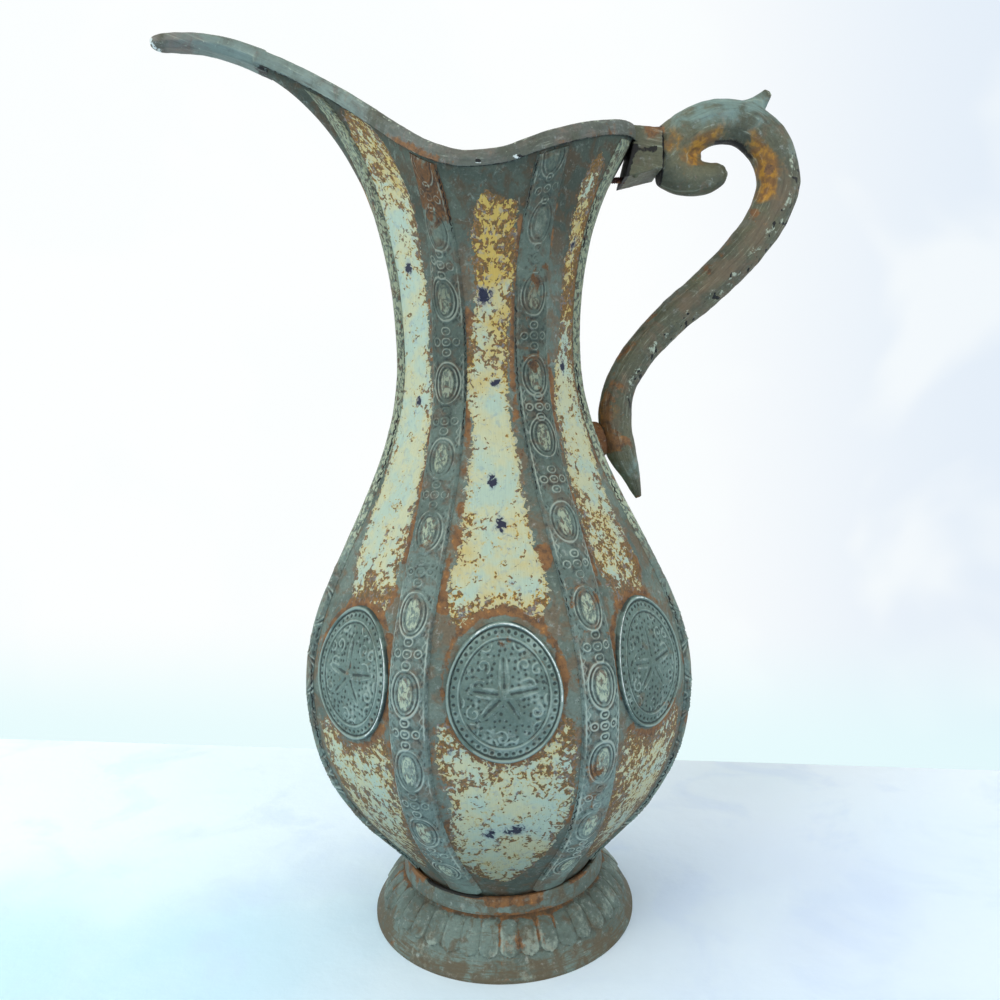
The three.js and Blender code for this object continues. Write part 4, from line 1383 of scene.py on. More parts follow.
@dataclass
class Medallions:
    """The eight pressed oval medallions."""

    cells: int = 140
    half_width: float = 23
    half_length: float = 27.5
    height: float = 142.5
    seat: float = 0.3
    sheet: float = 0.7
    dots: int = 44
    petals: tuple = ((90, 16.5), (8, 15.5), (172, 14), (300, 13.5), (224, 14))
    front_drop: float = 2.8
    dot_ring: float = 0.872
    # angle of each medallion's painted highlight on its rolled edge
    worn: tuple = (("spout_front", -8), ("front", 48), ("handle_front", 150))

    stroke_half: float = 0.42
    # Turn and distance of each scroll from the centre, turn of its start, and its way round
    scrolls: tuple = ((48, 12.5, 200, 1), (131, 12.5, 340, -1), (30, 15.5, 40, -1), (150, 15.5, 140, 1),
                      (335, 13.5, 30, 1), (205, 13.5, 150, -1), (318, 17.5, 120, -1), (222, 17.5, 60, 1),
                      (264, 14.5, 90, 1), (275, 18.0, 60, -1), (68, 17.5, 300, 1), (112, 17.5, 240, -1),
                      (355, 18.5, 200, 1), (185, 18.5, 340, -1), (15, 10.5, 90, 1), (165, 10.5, 90, -1),
                      (250, 18.2, 10, 1), (292, 18.2, 170, -1))

    def middle_line(self, side: str) -> tuple[float, Array, Array]:
        """Direction of a side's middle line, levels up it and their heights."""
        centre = SIDES.index(side) * 45.0
        levels, _ = FORM.rise(centre, 2)
        return centre, levels, FORM.profile(levels)[:, 1]

    def pits(self, off: Array, up: Array) -> Array:
        """Small punched pits scattered over the ground."""
        pitch = 2.7
        gap = np.full(off.shape, 9.0)
        for step_x, step_y in itertools.product((-1, 0, 1), repeat=2):
            column, row = np.floor(off / pitch) + step_x, np.floor(up / pitch) + step_y
            chance = [np.sin(column * 12.9898 * scale + row * 78.233) * 437.585 for scale in (1, 2.3)]
            side_x, side_y = (0.15 + 0.7 * (part - np.floor(part)) for part in chance)
            gap = np.minimum(gap, np.hypot(off - (column + side_x) * pitch, up - (row + side_y) * pitch))
        return ridge(gap, 0.62)

    def strokes(self) -> list[Array]:
        """Scroll lines of the ground as point rows."""
        found = []
        for turn, radius, start, way in self.scrolls:
            middle = radius * np.array([math.cos(math.radians(turn)), 1.18 * math.sin(math.radians(turn))])
            t = np.linspace(0, 1, 14)
            angle = np.radians(start + way * 400 * t)
            reach = 0.5 + 2.6 * t
            found.append(middle + np.stack([reach * np.cos(angle), reach * np.sin(angle)], axis=-1))
        return found

    def pattern(self, off: Array, up: Array) -> Array:
        """Height of the flower, its scrolls, the rings and the dots.

        Args:
            off: distance across from the centre, in millimetres.
            up: distance up from the centre.

        Returns:
            Heights in millimetres.
        """
        round_share = np.hypot(off / self.half_width, up / self.half_length)
        turn = np.arctan2(up / self.half_length, off / self.half_width)
        height = 0.75 * smooth(round_share, 0.94, 0.965) * (1 - 0.5 * smooth(round_share, 0.975, 1.0))
        height = height - 0.3 * ridge(round_share - 0.935, 0.012)
        height = height + 0.36 * ridge(round_share - 0.79, 0.014) - 0.2 * ridge(round_share - 0.762, 0.014)
        spacing = 2 * math.pi / self.dots
        at = np.rint(turn / spacing) * spacing
        dot = np.hypot(off - self.dot_ring * self.half_width * np.cos(at),
                       up - self.dot_ring * self.half_length * np.sin(at))
        height = height - 0.55 * ridge(dot, 0.62) + 0.14 * ridge(dot - 1.1, 0.3)
        flower = np.zeros_like(off)
        vein = np.zeros_like(off)
        for angle, length in self.petals:
            c, s = math.cos(math.radians(angle)), math.sin(math.radians(angle))
            along, aside = off * c + up * s, up * c - off * s
            share = np.clip(along / length, 0, 1)
            half = 3.1 * np.sqrt(np.clip(np.sin(math.pi * share ** 0.85), 0, 1)) * (1 - 0.2 * share) + 0.05
            body = 1 - smooth(np.abs(aside) / half, 0.7, 1.05)
            flower = np.maximum(flower, np.where((along > 0) & (along < length), body, 0))
            vein = np.maximum(vein, ridge(aside, 0.95) * window(along, 1.5, 3, length - 3, length))
        ground = 1 - smooth(round_share, 0.72, 0.75)
        scroll = np.zeros_like(off)
        for line in self.strokes():
            gap = np.full(off.shape, 1e9)
            for begin, run in zip(line, np.diff(line, axis=0)):
                part = np.clip(((off - begin[0]) * run[0] + (up - begin[1]) * run[1]) / (run @ run), 0, 1)
                gap = np.minimum(gap, np.hypot(off - begin[0] - part * run[0], up - begin[1] - part * run[1]))
            scroll = np.maximum(scroll, ridge(gap, self.stroke_half))
        scroll = scroll * ground * (1 - flower)
        height = height + 0.16 * flower - 0.42 * vein * flower + 0.34 * scroll
        height = height - 0.4 * self.pits(off, up) * ground * (1 - flower) * (1 - 0.6 * scroll)
        moat = window(flower, 0.0, 0.35, 0.35, 0.9)
        return height - 0.12 * moat * ground + 0.22 * ridge(np.hypot(off, up), 1.1)

    def surface(self, side: str) -> Callable[[Array, Array], Surface]:
        """The formula of one medallion's face, from a square grid to an oval."""
        centre, levels, heights = self.middle_line(side)

        def place(across: Array, along: Array) -> Surface:
            """Points, wear values and flat map of the medallion."""
            x, y = 2 * across - 1, 2 * along - 1
            off = x * np.sqrt(1 - y * y / 2) * self.half_width
            up = y * np.sqrt(1 - x * x / 2) * self.half_length
            raised = self.pattern(off, up)
            up_skin = up - self.front_drop * (side == "front")
            points = self.on_panel(centre, off, up_skin, self.seat + self.sheet + raised, levels, heights)
            share = np.hypot(off / self.half_width, up / self.half_length)
            seed = 62 + SIDES.index(side)
            # painted highlight: a pale crescent on the rolled edge, on the side that the angle gives
            toward = np.radians(dict(self.worn).get(side, 60 * SIDES.index(side)))
            facing = (off * math.cos(toward) + up * math.sin(toward)) / (np.hypot(off, up) + 1e-6)
            bare = 0.9 * ridge(share - 0.97, 0.014) * smooth(facing + 0.4 * cloud(points, 9, seed), 0.2, 0.7)
            if side == "handle_front":
                patch = smooth(cloud(points, 5, seed), 0.1, 0.4)
                bare = bare + 0.7 * smooth(raised, 0.28, 0.4) * (share < 0.72) * patch
            crack = 0.7 * ridge(share - 0.932, 0.012) * (0.7 + 0.6 * cloud(points, 15, seed + 9))
            rust = 0.06 + 0.35 * cloud(points, 8, seed + 20)
            cavity = 0.42 + 1.9 * (raised - soften(raised, 4)) + 0.2 * cloud(points, 6, 61)
            values = {"relief": np.clip(cavity, -0.2, 1.2), "rust": np.clip(rust, 0, 1),
                      "crack": np.clip(crack, 0, 1), "bare": np.clip(bare, 0, 1)}
            return Surface(points, values, np.stack([off, up], axis=-1))
        return place

    def on_panel(self, centre: float, off: Array, up: Array, lift: Array, levels: Array,
                 heights: Array) -> Array:
        """Points over the panel at distances from the medallion's centre."""
        level = np.interp(self.height + up, heights, levels)
        middle = float(np.interp(self.height, heights, levels))
        per = float(FORM.per_degree(np.array(centre), np.array(middle)))
        return FORM.off_skin(centre + off / per, level, lift)

    def close_back(self, piece: Piece, side: str) -> None:
        """Turn the edge down to the panel and close the hidden back.

        Args:
            piece: the medallion's face.
            side: of the jug that it lies on.
        """
        centre, levels, heights = self.middle_line(side)
        height = self.height - self.front_drop * (side == "front")
        middle = FORM.off_skin(np.array(centre), np.interp(height, heights, levels), np.array(0.05))
        only(piece)
        for drop, shrink in ((1.0, 1.0), (0.0, 0.5)):
            bpy.ops.object.mode_set(mode="EDIT")
            bpy.ops.mesh.select_mode(type="EDGE")
            bpy.ops.mesh.select_all(action="DESELECT")
            bpy.ops.mesh.select_non_manifold()
            bpy.ops.mesh.extrude_region_move()
            bpy.ops.object.mode_set(mode="OBJECT")
            chosen = np.empty(len(piece.data.vertices), bool)
            piece.data.vertices.foreach_get("select", chosen)
            points = vertices(piece)
            outward = unit(middle * (1, 1, 0))
            points[chosen] -= outward * drop * (self.seat + self.sheet + 0.4)
            points[chosen] = middle + (points[chosen] - middle) * shrink
            move_vertices(piece, points)
        bpy.ops.object.mode_set(mode="EDIT")
        bpy.ops.mesh.merge(type="CENTER")
        bpy.ops.object.mode_set(mode="OBJECT")

    def build(self, finishes: Finishes) -> None:
        """Model and dress all eight."""
        for side in SIDES:
            piece = formed(f"medal_{side}", self.cells, self.cells, self.surface(side))
            self.close_back(piece, side)
            shade(piece, 60)
            finish_piece(piece, f"medallion_{side}", "pressed_ornament", finishes.medallion)


@dataclass
class Foot:
    """The sloped collar and the skirt with its raised tongues."""

    radius: float = 66
    shoulder: float = 49.4
    collar_base: float = 22.3
    sheet: float = 1.2
    tongues: int = 40
    columns: int = 640
    tongue_rise: float = 1.0
    tongue_top: float = 20.4
    tongue_low: float = 9.3
    collar: tuple = ((46.1, 26.6), (46.1, 28.2), (48.0, 30.1), (49.2, 30.1), (49.75, 29.5), (51.0, 23.6),
                     (51.0, 22.5), (50.8, 22.3), (49.7, 22.3), (46.1, 26.6))

    def skirt_line(self, share: Array) -> Array:
        """Radius and height of the skirt's outer line, from collar to floor."""
        start = np.array([self.shoulder, self.collar_base])
        middle = np.array([61.7, 14.95])
        end = np.array([self.radius, self.sheet])
        t = np.asarray(share, float)[..., None]
        return (1 - t) ** 2 * start + 2 * (1 - t) * t * middle + t * t * end

    def tongue(self, turn: Array, height: Array) -> Array:
        """How far a place lies on a raised tongue, 0 to 1."""
        pitch = turn * self.tongues / (2 * math.pi)
        aside = np.abs(pitch - np.rint(pitch))
        low = np.clip((self.tongue_low + 2.6 - height) / 2.6, 0, 1)
        top = np.clip((height - self.tongue_top + 1.6) / 1.6, 0, 1)
        half = 0.46 * np.sqrt(np.clip(1 - low ** 2, 1e-4, 1) * np.clip(1 - 0.7 * top ** 2, 1e-4, 1))
        inside = (height > self.tongue_low) & (height < self.tongue_top)
        return np.where(inside, np.sqrt(np.clip(1 - (aside / half) ** 3.4, 0, 1)), 0)

    def skirt_surface(self, across: Array, along: Array) -> Surface:
        """Points, wear values and flat map of the skirt, round its closed section."""
        outer = self.skirt_line(np.linspace(0, 1, 60))
        back = self.skirt_line(np.linspace(0.95, 0.1, 6)) - (self.sheet, 0.9)
        section = np.concatenate([
            [[43.2, 26.9], [45.2, 26.9]], outer, [[66, 0.0], [60, 0.0], [60, 1.2]], back,
            [[44.0, 25.7], [43.2, 25.7], [43.2, 26.9]]])
        row = np.rint(along * (len(section) - 1)).astype(int)
        radius, height = section[row, 0], section[row, 1]
        turn = across * 2 * math.pi
        is_outer = (row >= 2) & (row < 62)
        tongue = self.tongue(turn, height) * is_outer
        fade = smooth(height, 2.0, 8.5) * smooth(22.3 - height, 0, 1.2)
        pressed = self.tongue_rise * (1 - tongue) * fade * is_outer
        flat_point = turned(radius, turn, height)
        wobble = 0.25 * cloud(flat_point, 12, 71) + 0.12 * cloud(flat_point, 4, 72)
        wobble = np.where(is_outer & (height > 2), wobble - 0.3, 0)
        radius = radius - pressed + wobble
        points = turned(radius, turn, height)
        groove = (1 - tongue) * smooth(height, 8, 10.5)
        rust = 0.06 + 0.4 * cloud(points, 15, 73) + 0.34 * groove * smooth(height, 11, 14)
        rust = rust + 0.6 * ridge(height - 21.8, 1.0) * (0.5 + cloud(points, 20, 75))
        lines = ridge(tongue - 0.55, 0.3) * smooth(cloud(points, 7, 76), -0.2, 0.4)
        relief = 0.44 + (0.14 * tongue + 0.45 * lines - 0.3 * groove) * fade
        values = {"relief": np.clip(relief, -0.2, 1.2),
                  "low": 1 - smooth(height, 4, 11), "rust": np.clip(rust, 0, 1),
                  "crack": 0.8 * ridge(height - 0.4, 1.0) * is_outer + 0.55 * ridge(height - 22.3, 0.6)}
        return Surface(points, values, np.stack([turn * 60, height], axis=-1))

    def collar_surface(self, across: Array, along: Array) -> Surface:
        """Points, wear values and flat map of the collar, round its closed section."""
        corners = np.array(self.collar)
        span = np.concatenate([[0], np.cumsum(np.linalg.norm(np.diff(corners, axis=0), axis=-1))])
        place = along * span[-1]
        radius, height = (np.interp(place, span, corners[:, axis]) for axis in (0, 1))
        turn = across * 2 * math.pi
        flat_point = turned(radius, turn, height)
        outside = radius > 49.3
        radius = radius + np.where(outside, 0.18 * cloud(flat_point, 9, 81) - 0.1, 0)
        points = turned(radius, turn, height)
        rust = 0.2 + 0.4 * cloud(points, 14, 82)
        rust = rust + 0.8 * ridge(height - 29.6, 1.0) * (0.4 + cloud(points, 18, 83))
        rust = rust + 0.6 * ridge(height - 22.8, 0.9) * (0.4 + cloud(points, 16, 84))
        degrees = np.degrees(turn)
        rust = rust + 0.75 * window(degrees, 256, 260, 284, 290) * smooth(height, 25, 28)
        gap = window(degrees, 218, 224, 252, 260) * smooth(height, 28.4, 29.4)
        values = {"relief": 0.42 + 0.15 * ridge(height - 28.6, 0.8), "low": np.full_like(turn, 0.3),
                  "rust": np.clip(rust, 0, 1), "crack": 0.5 * ridge(height - 30.1, 0.5) + 0.7 * gap}
        return Surface(points, values, np.stack([turn * 50, height], axis=-1))

    def build(self, finishes: Finishes) -> None:
        """Model and dress skirt and collar."""
        skirt = formed("fluted_skirt", self.columns, 73, self.skirt_surface)
        edit(skirt, turn_out=True)
        shade(skirt, 50)
        finish_piece(skirt, "foot_skirt", "foot_metal", finishes.foot)
        collar = formed("sloped_collar", 300, 44, self.collar_surface)
        edit(collar, turn_out=True)
        shade(collar, 50)
        finish_piece(collar, "foot_collar", "foot_metal", finishes.foot)


@dataclass
class RimTrim:
    """The folded trim round the mouth and the tongue that it runs out into."""

    rows: int = 420
    sheet_middle: float = -0.45
    axis_step: float = 0.006
    section: tuple = ((0.75, -7), (1.85, -7), (2.35, -3.15), (1.75, -0.5), (1.2, 0), (-1.2, 0), (-1.75, -0.6),
                      (-1.85, -4), (-0.75, -4), (-0.75, -1.2), (0.75, -1.2), (0.75, -7))
    voxel: float = 0.45
    # Share of the reach, of the rise, of the half width and of the depth, and depth of the groove
    tongue: tuple = ((-0.035, -0.085, 1.02, 1.2, 0.24), (0.25, 0.56, 0.9, 1.04, 0.3),
                     (0.53, 0.92, 0.77, 0.9, 0.32), (0.78, 1, 0.68, 0.84, 0.28),
                     (0.94, 0.93, 0.52, 0.72, 0.2), (1, 0.8, 0.3, 0.42, 0.1))
    tongue_section: tuple = ((1, 0.15), (1, 0.6), (0.6, 1), (-0.6, 1), (-1, 0.6), (-1, 0.15), (-0.75, 0),
                             (-0.45, 0), (-0.3, 1), (0.3, 1), (0.45, 0), (0.75, 0), (1, 0.15))
    tongue_root: float = -100
    tongue_end: float = -152.4
    tongue_size: tuple = (52.5, 7.8, 8.6, 8)

    def line(self, share: Array) -> Array:
        """The mouth line, with its fold at the side dip eased."""
        reach = 0.13 * (1 - smooth(np.abs(share), 0.0, 0.34))
        return np.mean([FORM.mouth_point(share + reach * step / 4) for step in range(-4, 5)], axis=0)

    def band_surface(self, across: Array, along: Array) -> Surface:
        """Points of the band, its section carried round the mouth."""
        near = 2 * along - 1
        share = 1 - 2 * (1 - np.abs(near))
        side = np.where(near < 0, -1.0, 1.0)
        outward, up = line_axes(self.line, share, self.axis_step)
        section = np.array(self.section)
        column = np.rint(across * (len(section) - 1)).astype(int)
        out, high = section[column, 0] + self.sheet_middle, section[column, 1]
        points = self.line(share) + outward * out[..., None] + up * high[..., None]
        points[..., 1] *= side
        return Surface(points, {}, np.stack([out, near * 330], axis=-1))

    def tongue_surface(self, across: Array, along: Array) -> Surface:
        """Points of the tongue, lofted from the throat to the tip."""
        stations, outline = np.array(self.tongue), np.array(self.tongue_section)
        spot = along * (len(stations) - 1)
        share, rise, width, depth, groove = hermite(np.arange(len(stations)), stations, spot)
        column = np.rint(across * (len(outline) - 1)).astype(int)
        aside, down = outline[column, 0], outline[column, 1]
        in_groove = (column == 8) | (column == 9)
        reach, half, lift, deep = self.tongue_size
        drop = down * depth * deep * np.where(in_groove, groove, 1)
        points = np.stack([self.tongue_root - share * reach, aside * width * half,
                           FORM.throat_height + rise * lift - drop], axis=-1)
        return Surface(points, {}, np.stack([across, along], axis=-1))

    def near_line(self, points: Array) -> tuple[Array, Array, Array]:
        """Share of the mouth line nearest to each point, and its outward and up distances."""
        shares = np.linspace(-1, 1, 401)
        line = self.line(shares)
        outward, up = line_axes(self.line, shares, self.axis_step)
        folded = points.copy()
        folded[:, 1] = np.abs(folded[:, 1])
        number, _ = nearest(folded, line)
        away = folded - line[number]
        return shares[number], (away * outward[number]).sum(-1), (away * up[number]).sum(-1)

    def build(self, finishes: Finishes) -> None:
        """Model the band and the tongue, melt them together and dress them."""
        band = formed("rim_band", len(self.section) - 1, self.rows, self.band_surface)
        edit(band, close_ends=True, turn_out=True)
        tongue = formed("spout_tongue", len(self.tongue_section) - 1, 60, self.tongue_surface)
        edit(tongue, close_ends=True, turn_out=True)
        rim = join([band, tongue])
        rim.name = rim.data.name = "folded_rim"
        blend_solid(rim, self.voxel, 3)
        points, normals = vertices(rim), vertex_normals(rim)
        wave = 0.16 * cloud(points, 9, 91) + 0.1 * cloud(points, 3.5, 92)
        points = points + normals * (wave - 0.1)[:, None]
        points[:, 0] = np.maximum(points[:, 0], self.tongue_end)
        move_vertices(rim, points)
        share, out, high = self.near_line(points)
        tip = smooth(-points[:, 0], 100, 112)
        edge = ridge(high + 0.3, 0.9) * smooth(out, 0.2, 1.2)
        edge = edge + 0.6 * ridge(high + 3.2, 0.7) * smooth(out, 1, 1.7)
        teal = 0.9 * smooth(-points[:, 0], 25, 75) * (1 - 0.5 * smooth(-points[:, 0], 140, 148))
        brown = 0.3 + 0.3 * cloud(points, 20, 93) - 0.5 * smooth(-points[:, 0], 30, 90)
        brown = brown + 0.75 * smooth(-points[:, 0], 118, 140) * (points[:, 2] < 430)
        rust = 0.04 + 0.35 * cloud(points, 18, 94) + 0.12 * ridge(high + 6.2, 1.3)
        rust = rust + 0.6 * ridge(high + 6, 2.4) * ridge(points[:, 0] + 31, 10) * (points[:, 1] < 0)
        bare = 0.95 * smooth(-points[:, 0], 143, 151) * (0.7 + 0.5 * cloud(points, 5, 96))
        # painted shade along the trim's lower edge; the measured black chips are added to it below
        lower_shade_and_chips = smooth(-high, 6.0, 7.0) * 0.75 * (1 - tip)
        for x, z, wide, tall, is_bare in ((-3.6, 353.3, 2.0, 1.1, True), (-3.4, 353.4, 1.6, 0.8, False),
                                          (12.8, 354.8, 2.8, 1.1, True), (13.9, 355.2, 1.6, 0.6, False)):
            away = np.hypot((points[:, 0] - x) / wide, (points[:, 2] - z) / tall)
            spot = 1 - smooth(away + 0.6 * cloud(points, 1.3, 97), 0.7, 1.15)
            spot = spot * (points[:, 1] < -50)
            if is_bare:
                bare = np.maximum(bare, spot)
            else:
                bare, lower_shade_and_chips = bare * (1 - spot), np.maximum(lower_shade_and_chips, spot)
        write_values(rim, {"teal": teal, "brown": brown,
                           "wear": np.clip(edge, 0, 1) * 0.55 * (1 - tip) + 0.25 * tip,
                           "rust": np.clip(rust, 0, 1), "bare": np.clip(bare, 0, 1), "crack": lower_shade_and_chips,
                           "lane": high + 0.6 * out,
                           "run": share * 165 - 0.5 * np.minimum(points[:, 0] + 100, 0)})
        finish_piece(rim, "rim_trim", "rim_metal", finishes.rim)


@dataclass
class ScrollHandle:
    """The cast handle with its curl and knob, the shoe, the screw and the solder boss."""

    width_share: float = 0.82
    voxel: float = 0.62
    shoe_face: float = 84.6
    farthest: float = 153.9
    arch: tuple = ((85.6, 371.2, 11.2), (96.5, 380.9, 10.9), (112, 387.5, 10.4), (128, 385.5, 10.6),
                   (139.5, 374.5, 10.8), (143.5, 358, 10.5), (136, 339, 9.7), (115, 315.5, 9.3),
                   (92, 296.5, 8.8), (74.5, 279, 8), (64.6, 262, 8), (62, 247, 8.4), (64.5, 232, 7.4),
                   (69.3, 219, 5), (73.2, 207.5, 1.6))
    curl: tuple = ((85.6, 369.6, 10), (96, 364.2, 10.2), (104.5, 361.8, 8.3), (111, 362.6, 6.9),
                   (115.2, 364.4, 5.4), (117.6, 365.6, 2.6))
    web: tuple = ((93, 373, 7), (99, 372, 5.8), (103.4, 371, 4.6), (105.4, 370.6, 2.4))
    knob: tuple = ((117, 389.5, 7.2), (126, 391.4, 6.3), (132.5, 394.8, 4.9), (136.6, 398.9, 3.4),
                   (138.6, 401.4, 2.3))

    def bar(self, name: str, stations: tuple, rows: int, ribs: float) -> Piece:
        """A cast bar along stations of x, z and half thickness.

        Args:
            name: of the piece.
            stations: in the handle's plane.
            rows: of faces along it.
            ribs: height of the two ridge lines along its sides, in millimetres.

        Returns:
            The closed bar.
        """
        table = np.array(stations)
        steps = np.sqrt(np.linalg.norm(np.diff(table[:, :2], axis=0), axis=-1))
        knots = np.concatenate([[0], np.cumsum(steps)])

        def place(across: Array, along: Array) -> Surface:
            """Points round the bar."""
            spot = along * knots[-1]
            x, z, half = hermite(knots, table, spot)
            step = knots[-1] * 1e-3
            dx, dz, _ = (hermite(knots, table, np.minimum(spot + step, knots[-1]))
                         - hermite(knots, table, np.maximum(spot - step, 0)))
            length = np.hypot(dx, dz)
            turn = across * 2 * math.pi
            bulge = 1 + ribs * (ridge(np.cos(turn) - 0.30, 0.10) + ridge(np.cos(turn) + 0.45, 0.10)) / half
            lift = half * np.cos(turn) * bulge
            points = np.stack([x - dz / length * lift, half * self.width_share * np.sin(turn) * bulge,
                               z + dx / length * lift], axis=-1)
            points[:, -1] = points[:, 0]
            return Surface(points, {}, np.stack([across, along], axis=-1))
        piece = formed(name, 40, rows, place)
        edit(piece, close_ends=True, turn_out=True)
        return piece

    def build_casting(self, finishes: Finishes) -> None:
        """Model the handle from its arch, curl, knob and spigot."""
        arch = self.bar("arch", self.arch, 180, 0.45)
        curl = self.bar("curl", self.curl, 40, 0.0)
        knob = self.bar("knob", self.knob, 30, 0.0)
        handle = join([arch, curl, knob, self.bar("web", self.web, 16, 0.0)])
        handle.name = handle.data.name = "scroll_handle"
        blend_solid(handle, self.voxel, 3)
        points, normals = vertices(handle), vertex_normals(handle)
        around, run = self.bar_place(points)
        lines = cloud(np.stack([around * 9, run * 0.12, np.zeros(len(run))], axis=-1), 1.7, 107)
        wave = 0.3 * cloud(points, 8, 101) + 0.16 * cloud(points, 3.2, 102) + 0.14 * lines
        points = points + normals * (wave - 0.16)[:, None]
        at_shoe = points[:, 2] > 340
        points[at_shoe, 0] = np.clip(points[at_shoe, 0], self.shoe_face + 0.3, self.farthest)
        move_vertices(handle, points)
        self.casting_values(handle, points, around, run)
        shade(handle, 60)
        finish_piece(handle, "handle", "handle_casting", finishes.casting)

    def bar_place(self, points: Array) -> tuple[Array, Array]:
        """Where points lie on the arch: the angle round it and the length along it."""
        table = np.array(self.arch)
        knots = np.concatenate([[0], np.cumsum(np.linalg.norm(np.diff(table[:, :2], axis=0), axis=-1))])
        spots = np.linspace(0, knots[-1], 400)
        x, z, _ = hermite(knots, table, spots)
        slope_x, slope_z = np.gradient(x), np.gradient(z)
        length = np.hypot(slope_x, slope_z)
        number, _ = nearest(points[:, ::2], np.stack([x, z], axis=-1))
        out = (points[:, 2] - z[number]) * slope_x[number] - (points[:, 0] - x[number]) * slope_z[number]
        return np.arctan2(out / length[number], -points[:, 1]), spots[number]

    def casting_values(self, handle: Piece, points: Array, around: Array, run: Array) -> None:
        """Where the handle is teal, ochre, brown, rubbed or cracked, and where shade under the crown is
        painted dark.

        Args:
            handle: the casting.
            points: its vertices.
            around: angle of each round the bar, growing outward from the camera's side.
            run: length of each along the bar.
        """
        x, z = points[:, 0], points[:, 2]

        def spots(rows: Sequence[tuple[float, float, float, float]]) -> Array:
            """Soft spots of x, z, radius and strength, the strongest at each point."""
            best = np.zeros(len(points))
            for at_x, at_z, size, strength in rows:
                best = np.maximum(best, strength * ridge(np.hypot(x - at_x, z - at_z), size))
            return best
        outer = np.sin(around)
        teal = spots(((96, 388, 9, 0.7), (104, 392, 12, 0.95), (117, 396, 12, 0.95), (130, 394, 11, 0.85),
                      (140, 386, 9, 0.55), (72.5, 222, 9, 0.6), (150, 372, 8, 0.4)))
        teal = teal + 0.3 * smooth(-outer, 0.35, 0.8) * (z < 345)
        inner = ridge(outer + 0.7, 0.36)
        below = window(x, 97, 102, 110, 120) * (z > 366)
        beside = smooth(x, 124, 132) * smooth(z, 344, 352)
        ochre = inner * np.maximum(0.75 * below, 0.95 * beside)
        ochre = ochre + spots(((90, 376, 6, 0.75), (97, 370, 7, 0.75), (104, 375, 3, 0.5), (137, 366, 6, 0.4),
                               (60, 250, 5, 0.5)))
        brown = spots(((141, 350, 14, 0.9), (132, 332, 16, 0.95), (116, 315, 16, 0.95), (98, 300, 16, 0.8),
                       (80, 284, 14, 0.75), (66, 262, 12, 0.6), (62, 245, 9, 0.7)))
        brown = brown * (0.4 + 0.6 * ridge(outer + 0.1, 0.6)) + 0.15 * cloud(points, 12, 103)
        rust = 0.05 + 0.4 * cloud(points, 9, 104) + 0.3 * ridge(outer + 0.85, 0.3) * (z < 350) * (z > 230)
        rust = rust + spots(((61, 238, 6, 0.6), (57, 250, 8, 0.5), (137, 363, 3, 0.7), (84, 382, 4, 0.8),
                             (128, 322, 8, 0.25), (66, 262, 7, 0.4)))
        arm = smooth(x, 62, 70) * (z < 372) * (z > 240)
        wear = 0.7 * ridge(outer - 0.5, 0.4) * arm * smooth(cloud(points, 3, 105), 0.0, 0.4)
        pits = 0.9 * smooth(cloud(points, 1.9, 106), 0.36, 0.55) * arm * smooth(outer, 0.05, 0.4)
        # painted shade: a dark stripe on the crown's underside, inside the loop
        pits = pits + 0.8 * ridge(outer + 1, 0.12) * window(x, 108, 113, 128, 134) * (z > 368)
        wear = wear + spots(((117, 362, 3, 0.5), (139, 401, 2.5, 0.6)))
        crack = 0.95 * (1 - smooth(x, 85.2, 86.6)) * (z > 340) + pits
        crack = crack + spots(((152, 358, 1.6, 0.4), (138.5, 401.5, 1.6, 0.6), (115.2, 364.2, 0.9, 0.5)))
        write_values(handle, {"teal": teal, "ochre": ochre, "brown": brown, "rust": np.clip(rust, 0, 1),
                              "wear": np.clip(wear, 0, 1), "crack": np.clip(crack, 0, 1),
                              "lane": around * 9, "run": run})

    def build_shoe(self, finishes: Finishes) -> None:
        """Model the flared shoe from a six-sided plate, drawn out, bevelled and worn."""
        low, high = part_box("handle_shoe")
        foot_x, foot_z, top = low.x / MM, low.z / MM, high.z / MM + 2.6
        outline = ((foot_x + 0.9, foot_z + 5.0), (self.shoe_face, foot_z + 9), (self.shoe_face, top - 2.6),
                   (71.9, top - 1.0), (73.2, foot_z + 21), (foot_x + 5.2, foot_z + 21))
        bpy.ops.object.select_all(action="DESELECT")
        bpy.ops.mesh.primitive_circle_add(vertices=6, radius=10 * MM, fill_type="NGON")
        shoe = named("flared_shoe")
        points = np.array([(x, -11.5, z) for x, z in outline])
        move_vertices(shoe, points)
        bpy.ops.object.mode_set(mode="EDIT")
        bpy.ops.mesh.select_all(action="SELECT")
        bpy.ops.mesh.extrude_region_move(TRANSFORM_OT_translate={"value": (0, 23 * MM, 0)})
        bpy.ops.mesh.select_all(action="SELECT")
        bpy.ops.mesh.normals_make_consistent(inside=False)
        bpy.ops.object.mode_set(mode="OBJECT")
        bpy.ops.object.select_all(action="DESELECT")
        bpy.ops.mesh.primitive_uv_sphere_add(segments=16, ring_count=10, radius=1.6 * MM,
                                             location=((foot_x + 6.4) * MM, -9.4 * MM, (foot_z + 6.4) * MM))
        nub = named("shoe_nub")
        only(nub)
        bpy.ops.object.transform_apply(location=True, rotation=True, scale=True)
        shoe = join([shoe, nub])
        blend_solid(shoe, 0.42, 2)
        points, normals = vertices(shoe), vertex_normals(shoe)
        at_rim = smooth(points[:, 2], foot_z + 20.5, foot_z + 22) * (1 - smooth(points[:, 0], 74.5, 83))
        points[:, 0] -= 0.0172 * points[:, 1] ** 2 * at_rim
        wave = 0.2 * cloud(points, 6, 111) + 0.12 * cloud(points, 2.6, 112)
        points = points + normals * (wave - 0.12)[:, None]
        move_vertices(shoe, points)
        x, z = points[:, 0], points[:, 2]
